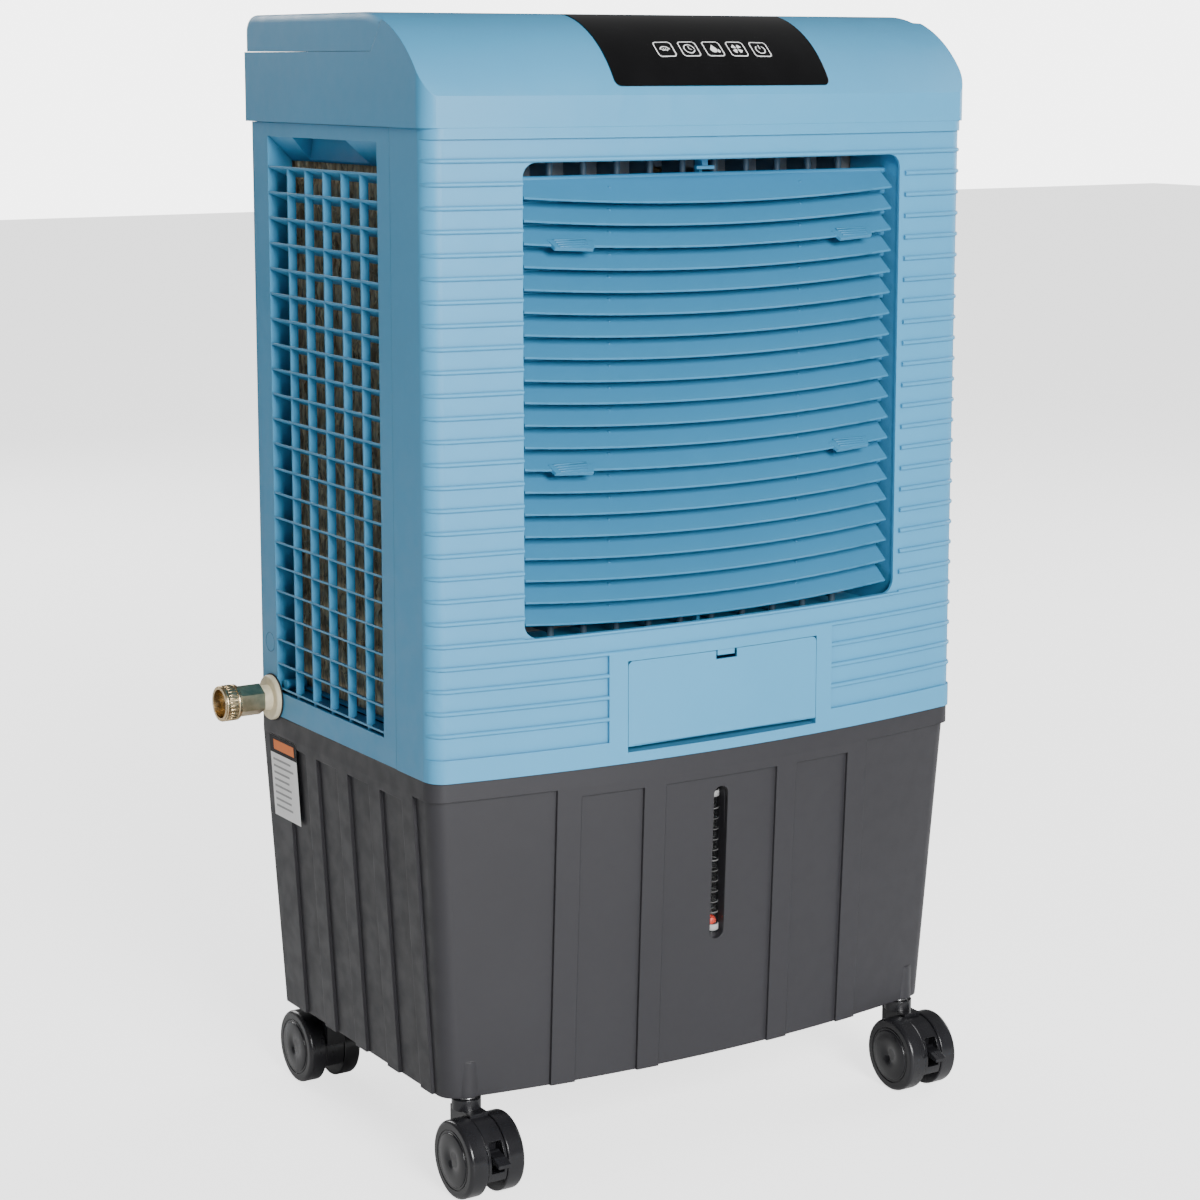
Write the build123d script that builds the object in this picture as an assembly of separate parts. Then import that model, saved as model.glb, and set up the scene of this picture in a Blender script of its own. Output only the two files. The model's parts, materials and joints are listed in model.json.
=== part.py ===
from build123d import *
import math
import os

# Portable evaporative cooler on four twin-wheel casters. Millimetres, +Z up, front towards -Y.
# The origin is on the floor, midway between the two sides, with the front corners and the rear
# wall the same distance away along Y. The front is bowed forward in one long arc.

# Driving dimensions of the body
RIB_PITCH = 19.0
BODY_HALF = 278.0
FRONT_EDGE = -161.5
BACK_Y = 161.5
BOW = 26.6
CORNER_R = 17.0
WALL = 2.8
PROUD = 3.0
GAP = 0.4

# Heights above the floor
TANK_Z = 81.0
LIP_Z = 348.0
SEAM_Z = 365.0
BAND_Z = 385.0
CAP_BAND_Z = 897.5
CAP_Z = 906.5
CREASE_Z = 932.0
LID_Z = 968.0
CAP_TOP_Z = 998.0
LID_TOP_Z = 1000.0

# Water tank
TANK_LOW_HALF = 262.0
TANK_LOW_FRONT = -149.5
TANK_LOW_BACK = 156.0
TANK_WALL = 3.2
TANK_FLOOR = 4.0
RECESS = 2.8
RECESS_TOP = 340.0
FRONT_RECESSES = [(-59.0, 59.0), (81.0, 142.0), (-142.0, -81.0)]
CORNER_RECESS_X = 165.0
CORNER_RECESS_Y = -128.0
FLUTE_WIDTH = 40.0
FLUTE_PITCH = 61.0
FLUTE_FIRST_Y = -87.7
FLUTE_COUNT = 4

# Level gauge in the tank's front
GAUGE_LOW = 189.0
GAUGE_HIGH = 330.0
GAUGE_WIDTH = 15.0
GAUGE_WELL_Y = -160.0
GAUGE_Y = -168.5
GAUGE_TUBE_R = 6.5
GAUGE_BORE_R = 5.5
GAUGE_PLUG = 9.0
GAUGE_END_GAP = 4.2
FLOAT_R = 5.1
FLOAT_LIFT = 0.2

# Front ribs and the raised panel round the storage door
RIB_COUNT = 26
RIB_HEIGHT = 3.6
RIB_BEVEL = 1.0
RIB_INSET = 0.4
PANEL_HALF = 118.0
PANEL_TOP_RIB = 23

# Louver window, its duct, the tilting vanes and the swinging deflectors
WINDOW_HALF = 195.0
WINDOW_LOW = 482.0
WINDOW_HIGH = 878.0
WINDOW_R = 12.0
DUCT_HALF = 196.0
DUCT_LOW = 470.0
DUCT_HIGH = 885.0
DUCT_WALL = 3.5
DUCT_BACK = -98.0
VANE_COUNT = 20
VANE_PITCH = 18.77
VANE_TOP_Z = 863.2
VANE_PIVOT_Y = -150.0
VANE_HALF = 190.5
VANE_CHORD = 25.4
VANE_BOW = 11.5
VANE_THICK = 2.6
VANE_TILT = 38.0
VANE_PIN_R = 2.5
VANE_KNUCKLE_R = 2.6
GRIP_VANES = (3, 13)
GRIP_X = 146.0
GRIP_WIDTH = 36.0
GRIP_DEPTH = 4.0
DEFLECTOR_COUNT = 10
DEFLECTOR_PITCH = 33.4
DEFLECTOR_Y = -142.5
DEFLECTOR_CHORD = 30.0
POST_R = 3.0
POST_PIN_R = 2.0
RUNNING = 0.06

# Storage door and its pocket
DOOR_HALF = 100.0
DOOR_LOW = 374.4
DOOR_HIGH = 454.4
DOOR_THICK = 2.4
DOOR_R = 5.0
DOOR_AXIS_Y = -185.5
DOOR_AXIS_Z = 380.8
DOOR_BARREL_R = 2.3
DOOR_PIN_R = 1.2
LATCH_HALF = 11.0
LATCH_DEPTH = 8.0
POCKET_BACK = -124.0
POCKET_WALL = 2.0

# Side and back grille panels
SIDE_SEAM_Y = -101.0
SIDE_BACK_Y = 157.0
GRILLE_FRONT_Y = -78.5
GRILLE_REAR_Y = 129.5
GRILLE_LOW = 388.0
GRILLE_HIGH = 894.0
GRILLE_DEPTH = 24.0
FLANGE = 2.4
BAR_TOP_Z = 867.0
BAR_PITCH = 22.6
BAR_COUNT = 22
BAR_DEPTH = 20.0
BAR_DROP = 8.5
BAR_THICK = 1.8
MULLION_PITCH = 34.5
MULLION_FIRST_Y = -45.8
MULLION_COUNT = 5
MULLION_DEPTH = 8.6
GRIP_FRONT_Y = -18.0
GRIP_REAR_Y = 84.0
BACK_FACE_Y = 170.0
BACK_FRAME_HALF = 272.0
BACK_FRAME_LOW = 376.0
BACK_FRAME_HIGH = 888.0
BACK_WINDOW_HALF = 228.0
BACK_WINDOW_HIGH = 868.0
BACK_BARS = 21
BACK_MULLIONS = 12

# Evaporative pads, standing on ledges
PAD_THICK = 40.0
LEDGE_Z = 392.0
LEDGE_THICK = 2.4
LEDGE_LIP = 10.0

# Hose inlet
INLET_Y = 139.5
INLET_Z = 381.0
FLANGE_R = 20.7
HEX_R = 14.5
WATER_BORE_R = 5.5
SWIVEL_R = 16.0
SWIVEL_BORE_R = 13.2
NECK_R = 9.0

# Float valve inside the tank
VALVE_PIN_X = -231.5
VALVE_PIN_Z = INLET_Z - 10
VALVE_PIN_R = 1.5
ARM_DROOP = 35.0
ARM_REACH = 110.0
ARM_FLOAT_R = 20.0

# Knock-out disc on the sides and cable gland on the back
DISC_R = 9.3
DISC_Y = 143.5
DISC_Z = 432.0
GLAND_R = 9.0
GLAND_X = 250.0
GLAND_Z = 420.0

# Fan
FAN_Z = 680.0
FAN_R = 183.0
FAN_RING_R = 189.0
FAN_BLADES = 5
FAN_HUB_R = 42.0
FAN_SHAFT_R = 5.0
BLADE_MID_Y = -68.0
RING_BACK = -14.0
MOTOR_R = 50.0
MOTOR_FRONT = -30.0
MOTOR_BACK = 52.0

# Pump and the gutters over the pads
PUMP_X = 150.0
PUMP_Y = 97.0
PUMP_BASE_R = 30.0
PUMP_R = 24.0
PUMP_TOP = 55.0
PUMP_NOSE = 80.0
RISER_R = 8.0
RISER_BORE_R = 5.0
GUTTER_WIDTH = 30.0
GUTTER_WALL = 1.6
DRIP_R = 2.0
DRIP_PITCH = 40.0

# Cap, its ice tray, and the lid
CAP_HALF = BODY_HALF + 2.3
CAP_BACK = BACK_FACE_Y - 1
SLOPE_RUN = 83.5
SLOPE_CROWN = 12.7
TRAY_HALF = 150.0
TRAY_FRONT_Y = -30.0
TRAY_BACK_Y = 110.0
TRAY_FLOOR_Z = 925.0
LID_ROUND = 15.0
LID_END_ROUND = 7.0
LID_FRONT = -74.0
LID_NOSE = -93.5
LID_DROP = 7.0
LID_FLAT = -55.0

# Touch panel set into the slope
TOUCH_HALF = 110.0
TOUCH_LOW_Z = CREASE_Z + 7.5
TOUCH_BACK_Y = -98.0
TOUCH_R = 6.0

# Lid hinge
HINGE_Y = 172.0
HINGE_Z = 972.0
HINGE_X = 180.0
HINGE_PIN_R = 2.0
KNUCKLE_R = 4.0

# Casters
WHEEL_R = 34.0
WHEEL_IN = 9.6
WHEEL_OUT = 26.5
TRAIL = 22.0
AXLE_R = 3.0
HOOD_HALF = 9.0
STEM_R = 5.0
FRONT_STEM = (236.0, -142.0)
REAR_STEM = (228.0, 134.0)
BRAKE_Y = -23.0
BRAKE_Z = WHEEL_R + 8
BRAKE_PIN_R = 1.5
BRAKE_HALF = 5.8


def block(x0, x1, y0, y1, z0, z1):
    """A box given by its limits."""
    middle = ((x0 + x1) / 2, (y0 + y1) / 2, (z0 + z1) / 2)
    return Pos(*middle) * Box(x1 - x0, y1 - y0, z1 - z0)


def rod_x(radius, x0, x1, y, z):
    return Pos((x0 + x1) / 2, y, z) * Rot(0, 90, 0) * Cylinder(radius, x1 - x0)


def rod_y(radius, y0, y1, x, z):
    return Pos(x, (y0 + y1) / 2, z) * Rot(90, 0, 0) * Cylinder(radius, y1 - y0)


def rod_z(radius, z0, z1, x, y):
    return Pos(x, y, (z0 + z1) / 2) * Cylinder(radius, z1 - z0)


def prism_x(points, x0, x1):
    """A (y, z) outline extruded along X."""
    outline = make_face(Polyline(*[(x0, y, z) for y, z in points], close=True))
    return extrude(outline, amount=x1 - x0, dir=(1, 0, 0))


def prism_y(points, y0, y1):
    """An (x, z) outline extruded along Y."""
    outline = make_face(Polyline(*[(x, y0, z) for x, z in points], close=True))
    return extrude(outline, amount=y1 - y0, dir=(0, 1, 0))


def window_y(half, low, high, radius, y0, y1):
    """A rounded rectangle in XZ extruded along Y."""
    outline = Plane.XZ * RectangleRounded(2 * half, high - low, radius)
    return extrude(Pos(0, y0, (low + high) / 2) * outline, amount=y1 - y0, dir=(0, 1, 0))


def bowed_plan(half, front, back, corner=CORNER_R):
    """Plan outline with straight sides and back, and a front bowed in one arc."""
    outline = make_face(
        [
            Line((-half, back), (-half, front)),
            ThreePointArc((-half, front), (0, front - BOW), (half, front)),
            Line((half, front), (half, back)),
            Line((half, back), (-half, back)),
        ]
    )
    return fillet(outline.vertices().sort_by(Axis.Y)[:2], corner)


def slab(plan, z0, z1):
    return extrude(Pos(0, 0, z0) * plan, amount=z1 - z0, dir=(0, 0, 1))


def mirrored(shape):
    return mirror(shape, about=Plane.YZ)


def both_sides(shape):
    return [shape, mirrored(shape)]


# Water tank ------------------------------------------------------------------------------


def tank_taper(grow):
    """The drafted body of the tank, grown or shrunk by a skin thickness."""
    low = bowed_plan(TANK_LOW_HALF + grow, TANK_LOW_FRONT - grow, TANK_LOW_BACK + grow)
    high = bowed_plan(BODY_HALF + grow, FRONT_EDGE - grow, BACK_Y + grow)
    return loft([Pos(0, 0, TANK_Z) * low, Pos(0, 0, LIP_Z) * high])


def recess_zones(grow):
    """Blocks that cover the sunk panels of the tank's walls, grown by a margin."""
    outside = BODY_HALF + 10
    below = TANK_Z - 10
    top = RECESS_TOP + grow
    front_zones = [
        block(x0 - grow, x1 + grow, FRONT_EDGE - BOW - 10, -100, below, top) for x0, x1 in FRONT_RECESSES
    ]
    corner = block(
        CORNER_RECESS_X - grow, outside, FRONT_EDGE - BOW, CORNER_RECESS_Y + grow, below, LIP_Z + 1
    )
    flutes = []
    for i in range(FLUTE_COUNT):
        y = FLUTE_FIRST_Y + i * FLUTE_PITCH
        reach = FLUTE_WIDTH / 2 + grow
        flutes += both_sides(block(TANK_LOW_HALF - 40, outside, y - reach, y + reach, below, top))
    return Part() + front_zones + both_sides(corner) + flutes


def gauge_slot(half_width, y0, y1):
    """The level gauge's upright slot, round at both ends."""
    middle = (GAUGE_LOW + GAUGE_HIGH) / 2
    length = GAUGE_HIGH - GAUGE_LOW + 2 * half_width - GAUGE_WIDTH
    outline = Plane.XZ * Rot(0, 0, 90) * SlotOverall(length, 2 * half_width)
    return extrude(Pos(0, y0, middle) * outline, amount=y1 - y0, dir=(0, 1, 0))


def stem_spots():
    """Name, stem x and y, and the direction along Y that the wheels trail in."""
    return [
        ("front_left", -FRONT_STEM[0], FRONT_STEM[1], -1),
        ("front_right", FRONT_STEM[0], FRONT_STEM[1], -1),
        ("rear_left", -REAR_STEM[0], REAR_STEM[1], 1),
        ("rear_right", REAR_STEM[0], REAR_STEM[1], 1),
    ]


def make_tank():
    outer = tank_taper(0)
    sunk = (outer - tank_taper(-RECESS)) & recess_zones(0)
    lip = slab(bowed_plan(BODY_HALF, FRONT_EDGE, BACK_Y), LIP_Z, SEAM_Z)
    shell = outer - sunk + lip
    cavity = tank_taper(-TANK_WALL)
    bulges = (cavity - tank_taper(-TANK_WALL - RECESS)) & recess_zones(TANK_WALL)
    above_floor = block(-300, 300, -200, 200, TANK_Z + TANK_FLOOR, LIP_Z + 1)
    inner_plan = bowed_plan(BODY_HALF - TANK_WALL, FRONT_EDGE + TANK_WALL, BACK_Y - TANK_WALL)
    mouth = slab(inner_plan, LIP_Z, SEAM_Z + 1)
    tank = shell - ((cavity - bulges) & above_floor) - mouth
    # The gauge's well: a pocket open to the front and closed towards the water
    reach = FRONT_EDGE - BOW
    well_wall = gauge_slot(GAUGE_WIDTH / 2 + TANK_WALL, reach + 9, GAUGE_WELL_Y + TANK_WALL)
    tank = tank + (well_wall & tank_taper(-RECESS))
    tank = tank - gauge_slot(GAUGE_WIDTH / 2, reach - 5, GAUGE_WELL_Y)
    for z0, z1 in ((GAUGE_LOW - 1, GAUGE_LOW + GAUGE_PLUG), (GAUGE_HIGH - GAUGE_PLUG, GAUGE_HIGH + 1)):
        tank = tank + rod_z(GAUGE_BORE_R - 0.1, z0, z1, 0, GAUGE_Y)
    # Sockets for the caster stems
    for _, x, y, _ in stem_spots():
        tank = tank + rod_z(12, TANK_Z, TANK_Z + 32, x, y)
        tank = tank - rod_z(STEM_R + RUNNING, TANK_Z - 1, TANK_Z + 27, x, y)
    # Drain plug low in the rear wall, with a grip bar across it
    drain_z = TANK_Z + 24
    plug = rod_y(15, TANK_LOW_BACK - 2, TANK_LOW_BACK + 5, 0, drain_z)
    plug = plug + rod_y(12, TANK_LOW_BACK, TANK_LOW_BACK + 9, 0, drain_z)
    grip = block(-2.5, 2.5, TANK_LOW_BACK, TANK_LOW_BACK + 14, drain_z - 11, drain_z + 11)
    return tank + plug + grip


def make_level_tube():
    z0 = GAUGE_LOW + GAUGE_END_GAP
    z1 = GAUGE_HIGH - GAUGE_END_GAP
    tube = rod_z(GAUGE_TUBE_R, z0, z1, 0, GAUGE_Y)
    return tube - rod_z(GAUGE_BORE_R, z0 - 1, z1 + 1, 0, GAUGE_Y)


def make_level_float():
    return Pos(0, GAUGE_Y, GAUGE_LOW + GAUGE_PLUG + FLOAT_R + FLOAT_LIFT) * Sphere(FLOAT_R)


# Front housing ---------------------------------------------------------------------------


def proud_plan(sink=0.0):
    """Outline of the raised ribs and bands. Their sides end just inside the side walls."""
    return bowed_plan(BODY_HALF - RIB_INSET, FRONT_EDGE - PROUD + sink, SIDE_SEAM_Y)


def make_ribs(inner):
    rib = slab(proud_plan(), 0, RIB_HEIGHT)
    outer_edges = rib.edges().filter_by(lambda e: e.center().Y < SIDE_SEAM_Y - 1)
    flat_edges = outer_edges.filter_by(lambda e: abs(e.tangent_at(0.5).Z) < 0.5)
    rib = chamfer(flat_edges, RIB_BEVEL)
    ribs = Part() + [Pos(0, 0, CAP_BAND_Z - RIB_PITCH * k) * rib for k in range(1, RIB_COUNT + 1)]
    second_rib_top = CAP_BAND_Z - 2 * RIB_PITCH + RIB_HEIGHT + 1
    louver_gap = block(
        -WINDOW_HALF - 1, WINDOW_HALF + 6, -200, -150, WINDOW_LOW, second_rib_top
    )
    panel_top = CAP_BAND_Z - PANEL_TOP_RIB * RIB_PITCH - 1
    panel_gap = block(-PANEL_HALF + 1, PANEL_HALF - 1, -200, -150, BAND_Z - 10, panel_top)
    return ribs - louver_gap - panel_gap - inner


def vane_heights():
    return [VANE_TOP_Z - VANE_PITCH * i for i in range(VANE_COUNT)]


def deflector_places():
    middle = (DEFLECTOR_COUNT - 1) / 2
    return [DEFLECTOR_PITCH * (i - middle) for i in range(DEFLECTOR_COUNT)]


def make_duct(outer):
    """The rectangular air duct behind the window, its pivot bores and its middle stay."""
    reach = FRONT_EDGE - BOW - 5
    walls = block(
        -DUCT_HALF - DUCT_WALL,
        DUCT_HALF + DUCT_WALL,
        reach,
        DUCT_BACK,
        DUCT_LOW - DUCT_WALL,
        DUCT_HIGH + DUCT_WALL,
    )
    duct = walls - block(-DUCT_HALF, DUCT_HALF, reach - 1, DUCT_BACK + 1, DUCT_LOW, DUCT_HIGH)
    stay_front = VANE_PIVOT_Y + VANE_KNUCKLE_R + 0.9
    duct = (duct & outer) + block(-1.5, 1.5, stay_front, stay_front + 7, DUCT_LOW, DUCT_HIGH)
    hook_z = VANE_TOP_Z + 5
    duct = duct + block(-3, 3, VANE_PIVOT_Y - 3, stay_front + 1, hook_z, DUCT_HIGH)
    duct = duct + block(-9, 9, VANE_PIVOT_Y - 4, VANE_PIVOT_Y, hook_z, hook_z + 3)
    side = DUCT_HALF + DUCT_WALL + 1
    bores = [rod_x(VANE_PIN_R + RUNNING, -side, side, VANE_PIVOT_Y, z) for z in vane_heights()]
    low = DUCT_LOW - DUCT_WALL - 1
    high = DUCT_HIGH + DUCT_WALL + 1
    bores += [rod_z(POST_PIN_R + RUNNING, low, high, x, DEFLECTOR_Y) for x in deflector_places()]
    return duct - bores


def make_front_housing():
    outline = bowed_plan(BODY_HALF, FRONT_EDGE, SIDE_SEAM_Y)
    solid = slab(outline, SEAM_Z, CAP_Z)
    inside = bowed_plan(BODY_HALF - WALL, FRONT_EDGE + WALL, SIDE_SEAM_Y + 5, CORNER_R - WALL)
    inner = slab(inside, SEAM_Z - 1, CAP_Z + 1)
    bands = slab(proud_plan(), SEAM_Z, BAND_Z) + slab(proud_plan(), CAP_BAND_Z, CAP_Z)
    panel_top = CAP_BAND_Z - PANEL_TOP_RIB * RIB_PITCH + 1
    panel = slab(proud_plan(), BAND_Z - 1, panel_top)
    panel = panel & block(-PANEL_HALF, PANEL_HALF, -200, -150, BAND_Z - 1, panel_top)
    housing = solid + bands + panel - inner + make_ribs(inner)
    housing = housing + make_duct(solid)
    reach = FRONT_EDGE - BOW - 10
    housing = housing - window_y(
        WINDOW_HALF, WINDOW_LOW, WINDOW_HIGH, WINDOW_R, reach, FRONT_EDGE + WALL + 2
    )
    # Pocket behind the storage door
    pocket = block(
        -DOOR_HALF - POCKET_WALL,
        DOOR_HALF + POCKET_WALL,
        reach + 12,
        POCKET_BACK + POCKET_WALL,
        DOOR_LOW - POCKET_WALL,
        DOOR_HIGH + POCKET_WALL,
    )
    housing = housing + (pocket & solid)
    housing = housing - block(-DOOR_HALF, DOOR_HALF, reach, POCKET_BACK, DOOR_LOW, DOOR_HIGH)
    door_pin = DOOR_HALF + POCKET_WALL + 1
    housing = housing - rod_x(DOOR_PIN_R + RUNNING, -door_pin, door_pin, DOOR_AXIS_Y, DOOR_AXIS_Z)
    tongue = block(-9, 9, FRONT_EDGE - BOW - PROUD + 1, -180, DOOR_HIGH - 5, DOOR_HIGH + 1)
    return housing + tongue


def make_storage_door():
    margin = GAP
    half = DOOR_HALF - margin
    skin = slab(proud_plan(), DOOR_LOW, DOOR_HIGH) - slab(
        proud_plan(DOOR_THICK), DOOR_LOW - 1, DOOR_HIGH + 1
    )
    outline = window_y(half, DOOR_AXIS_Z - 20, DOOR_HIGH - margin, DOOR_R, -200, -150)
    above = block(-half, half, -200, -150, DOOR_AXIS_Z, DOOR_HIGH)
    door = skin & outline & above
    web = block(-half, half, FRONT_EDGE - BOW - 2, DOOR_AXIS_Y + 1.4, DOOR_AXIS_Z, DOOR_AXIS_Z + 4)
    door = door + (web & slab(proud_plan(), DOOR_LOW, DOOR_HIGH))
    door = door + rod_x(DOOR_BARREL_R, -half, half, DOOR_AXIS_Y, DOOR_AXIS_Z)
    pin = DOOR_HALF + POCKET_WALL - 0.2
    door = door + rod_x(DOOR_PIN_R, -pin, pin, DOOR_AXIS_Y, DOOR_AXIS_Z)
    return door - block(-LATCH_HALF, LATCH_HALF, -200, -150, DOOR_HIGH - LATCH_DEPTH, DOOR_HIGH)


# Louver vanes and deflectors --------------------------------------------------------------


def make_vane(with_grips):
    """A tilting vane about the X axis at the origin, drawn flat and then tilted down."""
    tip = VANE_CHORD - VANE_THICK / 2
    face = make_face(
        [
            Line((-VANE_HALF, 0), (-VANE_HALF, -tip)),
            ThreePointArc((-VANE_HALF, -tip), (0, -tip - VANE_BOW), (VANE_HALF, -tip)),
            Line((VANE_HALF, -tip), (VANE_HALF, 0)),
            Line((VANE_HALF, 0), (-VANE_HALF, 0)),
        ]
    )
    vane = extrude(Pos(0, 0, -VANE_THICK / 2) * face, amount=VANE_THICK, dir=(0, 0, 1))
    front = vane.edges().filter_by(lambda e: e.center().Y < -VANE_CHORD)
    vane = fillet(front.filter_by(lambda e: e.length > VANE_HALF), VANE_THICK / 2 - 0.1)
    if with_grips:
        edge = tip + VANE_BOW * (1 - (GRIP_X / VANE_HALF) ** 2)
        corners = [(-GRIP_WIDTH / 2 - 4, 6), (GRIP_WIDTH / 2 + 4, 6), (GRIP_WIDTH / 2, -GRIP_DEPTH)]
        corners.append((-GRIP_WIDTH / 2, -GRIP_DEPTH))
        tab = make_face(Polyline(*corners, close=True))
        grip = extrude(Pos(0, 0, -VANE_THICK / 2) * tab, amount=VANE_THICK + 0.8, dir=(0, 0, 1))
        for x in (-GRIP_X, GRIP_X):
            vane = vane + Pos(x, -edge, 0) * Rot(0, 0, math.copysign(5, x)) * grip
    vane = vane + rod_x(VANE_KNUCKLE_R, -VANE_HALF, VANE_HALF, 0, 0)
    pin = DUCT_HALF + DUCT_WALL - 0.3
    vane = vane + rod_x(VANE_PIN_R, -pin, pin, 0, 0)
    return Rot(VANE_TILT, 0, 0) * vane


def make_deflector():
    """An upright vane about the Z axis at the origin, with a pin at each end."""
    low = DUCT_LOW + 0.8
    high = DUCT_HIGH - 0.8
    post = rod_z(POST_R, low, high, 0, 0)
    blade = block(-1, 1, 0, DEFLECTOR_CHORD, low + 6, high - 9)
    pins = rod_z(POST_PIN_R, DUCT_LOW - DUCT_WALL + 0.3, DUCT_HIGH + DUCT_WALL - 0.3, 0, 0)
    return post + blade + pins


# Grille panels ---------------------------------------------------------------------------


def grille_bar(depth, drop):
    """Outline of one sloping bar: (depth inwards, height) from its outer edge."""
    half = BAR_THICK / 2
    return [(0.4, half), (0.4, -half), (depth, -drop - half), (depth, -drop + half)]


def make_side_panel():
    """The left panel. Its outer face is at x = -BODY_HALF."""
    face = -BODY_HALF
    deep = face + GRILLE_DEPTH
    front, rear = GRILLE_FRONT_Y, GRILLE_REAR_Y
    panel = block(face, face + WALL, SIDE_SEAM_Y + GAP, SIDE_BACK_Y, SEAM_Z + GAP, CAP_Z - GAP)
    panel = panel + block(face, face + 16, SIDE_BACK_Y - FLANGE, SIDE_BACK_Y, SEAM_Z + GAP, CAP_Z - GAP)
    panel = panel + block(face, face + 12, SIDE_SEAM_Y + GAP, SIDE_SEAM_Y + 3, SEAM_Z + GAP, CAP_Z - GAP)
    panel = panel + block(
        face, deep, front - FLANGE, rear + FLANGE, GRILLE_LOW - FLANGE, GRILLE_HIGH + FLANGE
    )
    panel = panel - block(face - 1, deep + 1, front, rear, GRILLE_LOW, GRILLE_HIGH)
    bars = []
    for i in range(BAR_COUNT):
        z = BAR_TOP_Z - i * BAR_PITCH
        outline = [(face + d, z + h) for d, h in grille_bar(BAR_DEPTH, BAR_DROP)]
        bars.append(prism_y(outline, front - 1, rear + 1))
    last_bar = BAR_TOP_Z - (BAR_COUNT - 1) * BAR_PITCH
    for i in range(MULLION_COUNT):
        y = MULLION_FIRST_Y + i * MULLION_PITCH
        half = BAR_THICK / 2
        bars.append(
            block(face + 0.8, face + MULLION_DEPTH, y - half, y + half, last_bar, BAR_TOP_Z)
        )
        bars.append(rod_z(2.2, GRILLE_LOW - 1, last_bar, face + 4, y))
    # The sloping hood over the top opening, hollowed for a hand
    hood_low = BAR_TOP_Z + 5
    wedge = [(face + 0.8, GRILLE_HIGH + 1), (deep, hood_low), (deep, GRILLE_HIGH + 1)]
    hood = prism_y(wedge, front - 1, rear + 1)
    top = GRILLE_HIGH - 0.4
    hand = [
        (GRIP_FRONT_Y, top),
        (GRIP_REAR_Y, top),
        (GRIP_REAR_Y + 8, hood_low - 5),
        (GRIP_FRONT_Y - 8, hood_low - 5),
    ]
    hood = hood - prism_x(hand, face - 1, deep - BAR_THICK)
    # Float valve adjuster inside the lower rear corner
    knob = rod_x(4.5, face + 3, deep - 1, rear - 10, GRILLE_LOW + 8)
    panel = panel + bars + hood + knob
    # Ledge that the pad stands on, with a lip behind it
    lip_x = deep + PAD_THICK + 2 * GAP
    ledge_end = lip_x + LEDGE_THICK
    front_y, rear_y = SIDE_SEAM_Y + 6, SIDE_BACK_Y - 5
    panel = panel + block(deep - 1, ledge_end, front_y, rear_y, LEDGE_Z - LEDGE_THICK, LEDGE_Z)
    panel = panel + block(lip_x, ledge_end, front_y, rear_y, LEDGE_Z - 1, LEDGE_Z + LEDGE_LIP)
    # Knock-out disc, scored into the rear margin
    score = rod_x(DISC_R, face - 1, face + 0.6, DISC_Y, DISC_Z)
    score = score - rod_x(DISC_R - 0.8, face - 2, face + 1, DISC_Y, DISC_Z)
    return panel - score - rod_x(7.6, face - 1, face + 20, INLET_Y, INLET_Z)


def make_right_panel():
    """The right panel mirrors the left one but has no water inlet hole."""
    panel = mirrored(make_side_panel())
    face = BODY_HALF
    plug = rod_x(8, face - WALL, face, INLET_Y, INLET_Z)
    return panel + plug


def make_back_panel():
    inner = SIDE_BACK_Y + GAP
    low, high = GRILLE_LOW, BACK_WINDOW_HIGH
    half = BACK_WINDOW_HALF
    base = block(-BODY_HALF + GAP, BODY_HALF - GAP, inner, BACK_Y, SEAM_Z + GAP, CAP_Z - GAP)
    frame = window_y(BACK_FRAME_HALF, BACK_FRAME_LOW, BACK_FRAME_HIGH, 8, inner, BACK_FACE_Y)
    frame_low, frame_high = BACK_FRAME_LOW + WALL, BACK_FRAME_HIGH - WALL
    hollow = window_y(BACK_FRAME_HALF - WALL, frame_low, frame_high, 6, inner - 1, BACK_FACE_Y - WALL)
    rim = block(-half - FLANGE, half + FLANGE, inner, BACK_FACE_Y, low - FLANGE, high + FLANGE)
    panel = base + frame - hollow + rim - block(-half, half, inner - 1, BACK_FACE_Y + 1, low, high)
    bars = []
    depth = BACK_FACE_Y - inner - 0.6
    for i in range(BACK_BARS):
        z = BAR_TOP_Z - (i + 1) * BAR_PITCH + 8
        outline = [(BACK_FACE_Y - d, z + h) for d, h in grille_bar(depth, BAR_DROP * 0.7)]
        bars.append(prism_x(outline, -half - 1, half + 1))
    for i in range(BACK_MULLIONS):
        x = MULLION_PITCH * (i - (BACK_MULLIONS - 1) / 2)
        x0, x1 = x - BAR_THICK / 2, x + BAR_THICK / 2
        bars.append(block(x0, x1, BACK_FACE_Y - MULLION_DEPTH, BACK_FACE_Y - 0.8, low - 1, high + 1))
    # Cable gland moulded into the right-hand margin
    gland = rod_y(GLAND_R, BACK_FACE_Y - WALL, BACK_FACE_Y + 3, GLAND_X, GLAND_Z)
    panel = panel + bars + gland
    panel = panel - rod_y(GLAND_R - 5, BACK_FACE_Y - 10, BACK_FACE_Y + 4, GLAND_X, GLAND_Z)
    # Ledge that the rear pad stands on, with a lip in front of it
    lip_y = SIDE_BACK_Y - 5 - PAD_THICK - GAP
    ledge_end = lip_y - LEDGE_THICK
    half = BODY_HALF - GRILLE_DEPTH - PAD_THICK - 10
    panel = panel + block(-half, half, ledge_end, inner + 1, GRILLE_LOW - 1, LEDGE_Z)
    return panel + block(-half, half, ledge_end, lip_y, LEDGE_Z - 1, LEDGE_Z + LEDGE_LIP)


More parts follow.
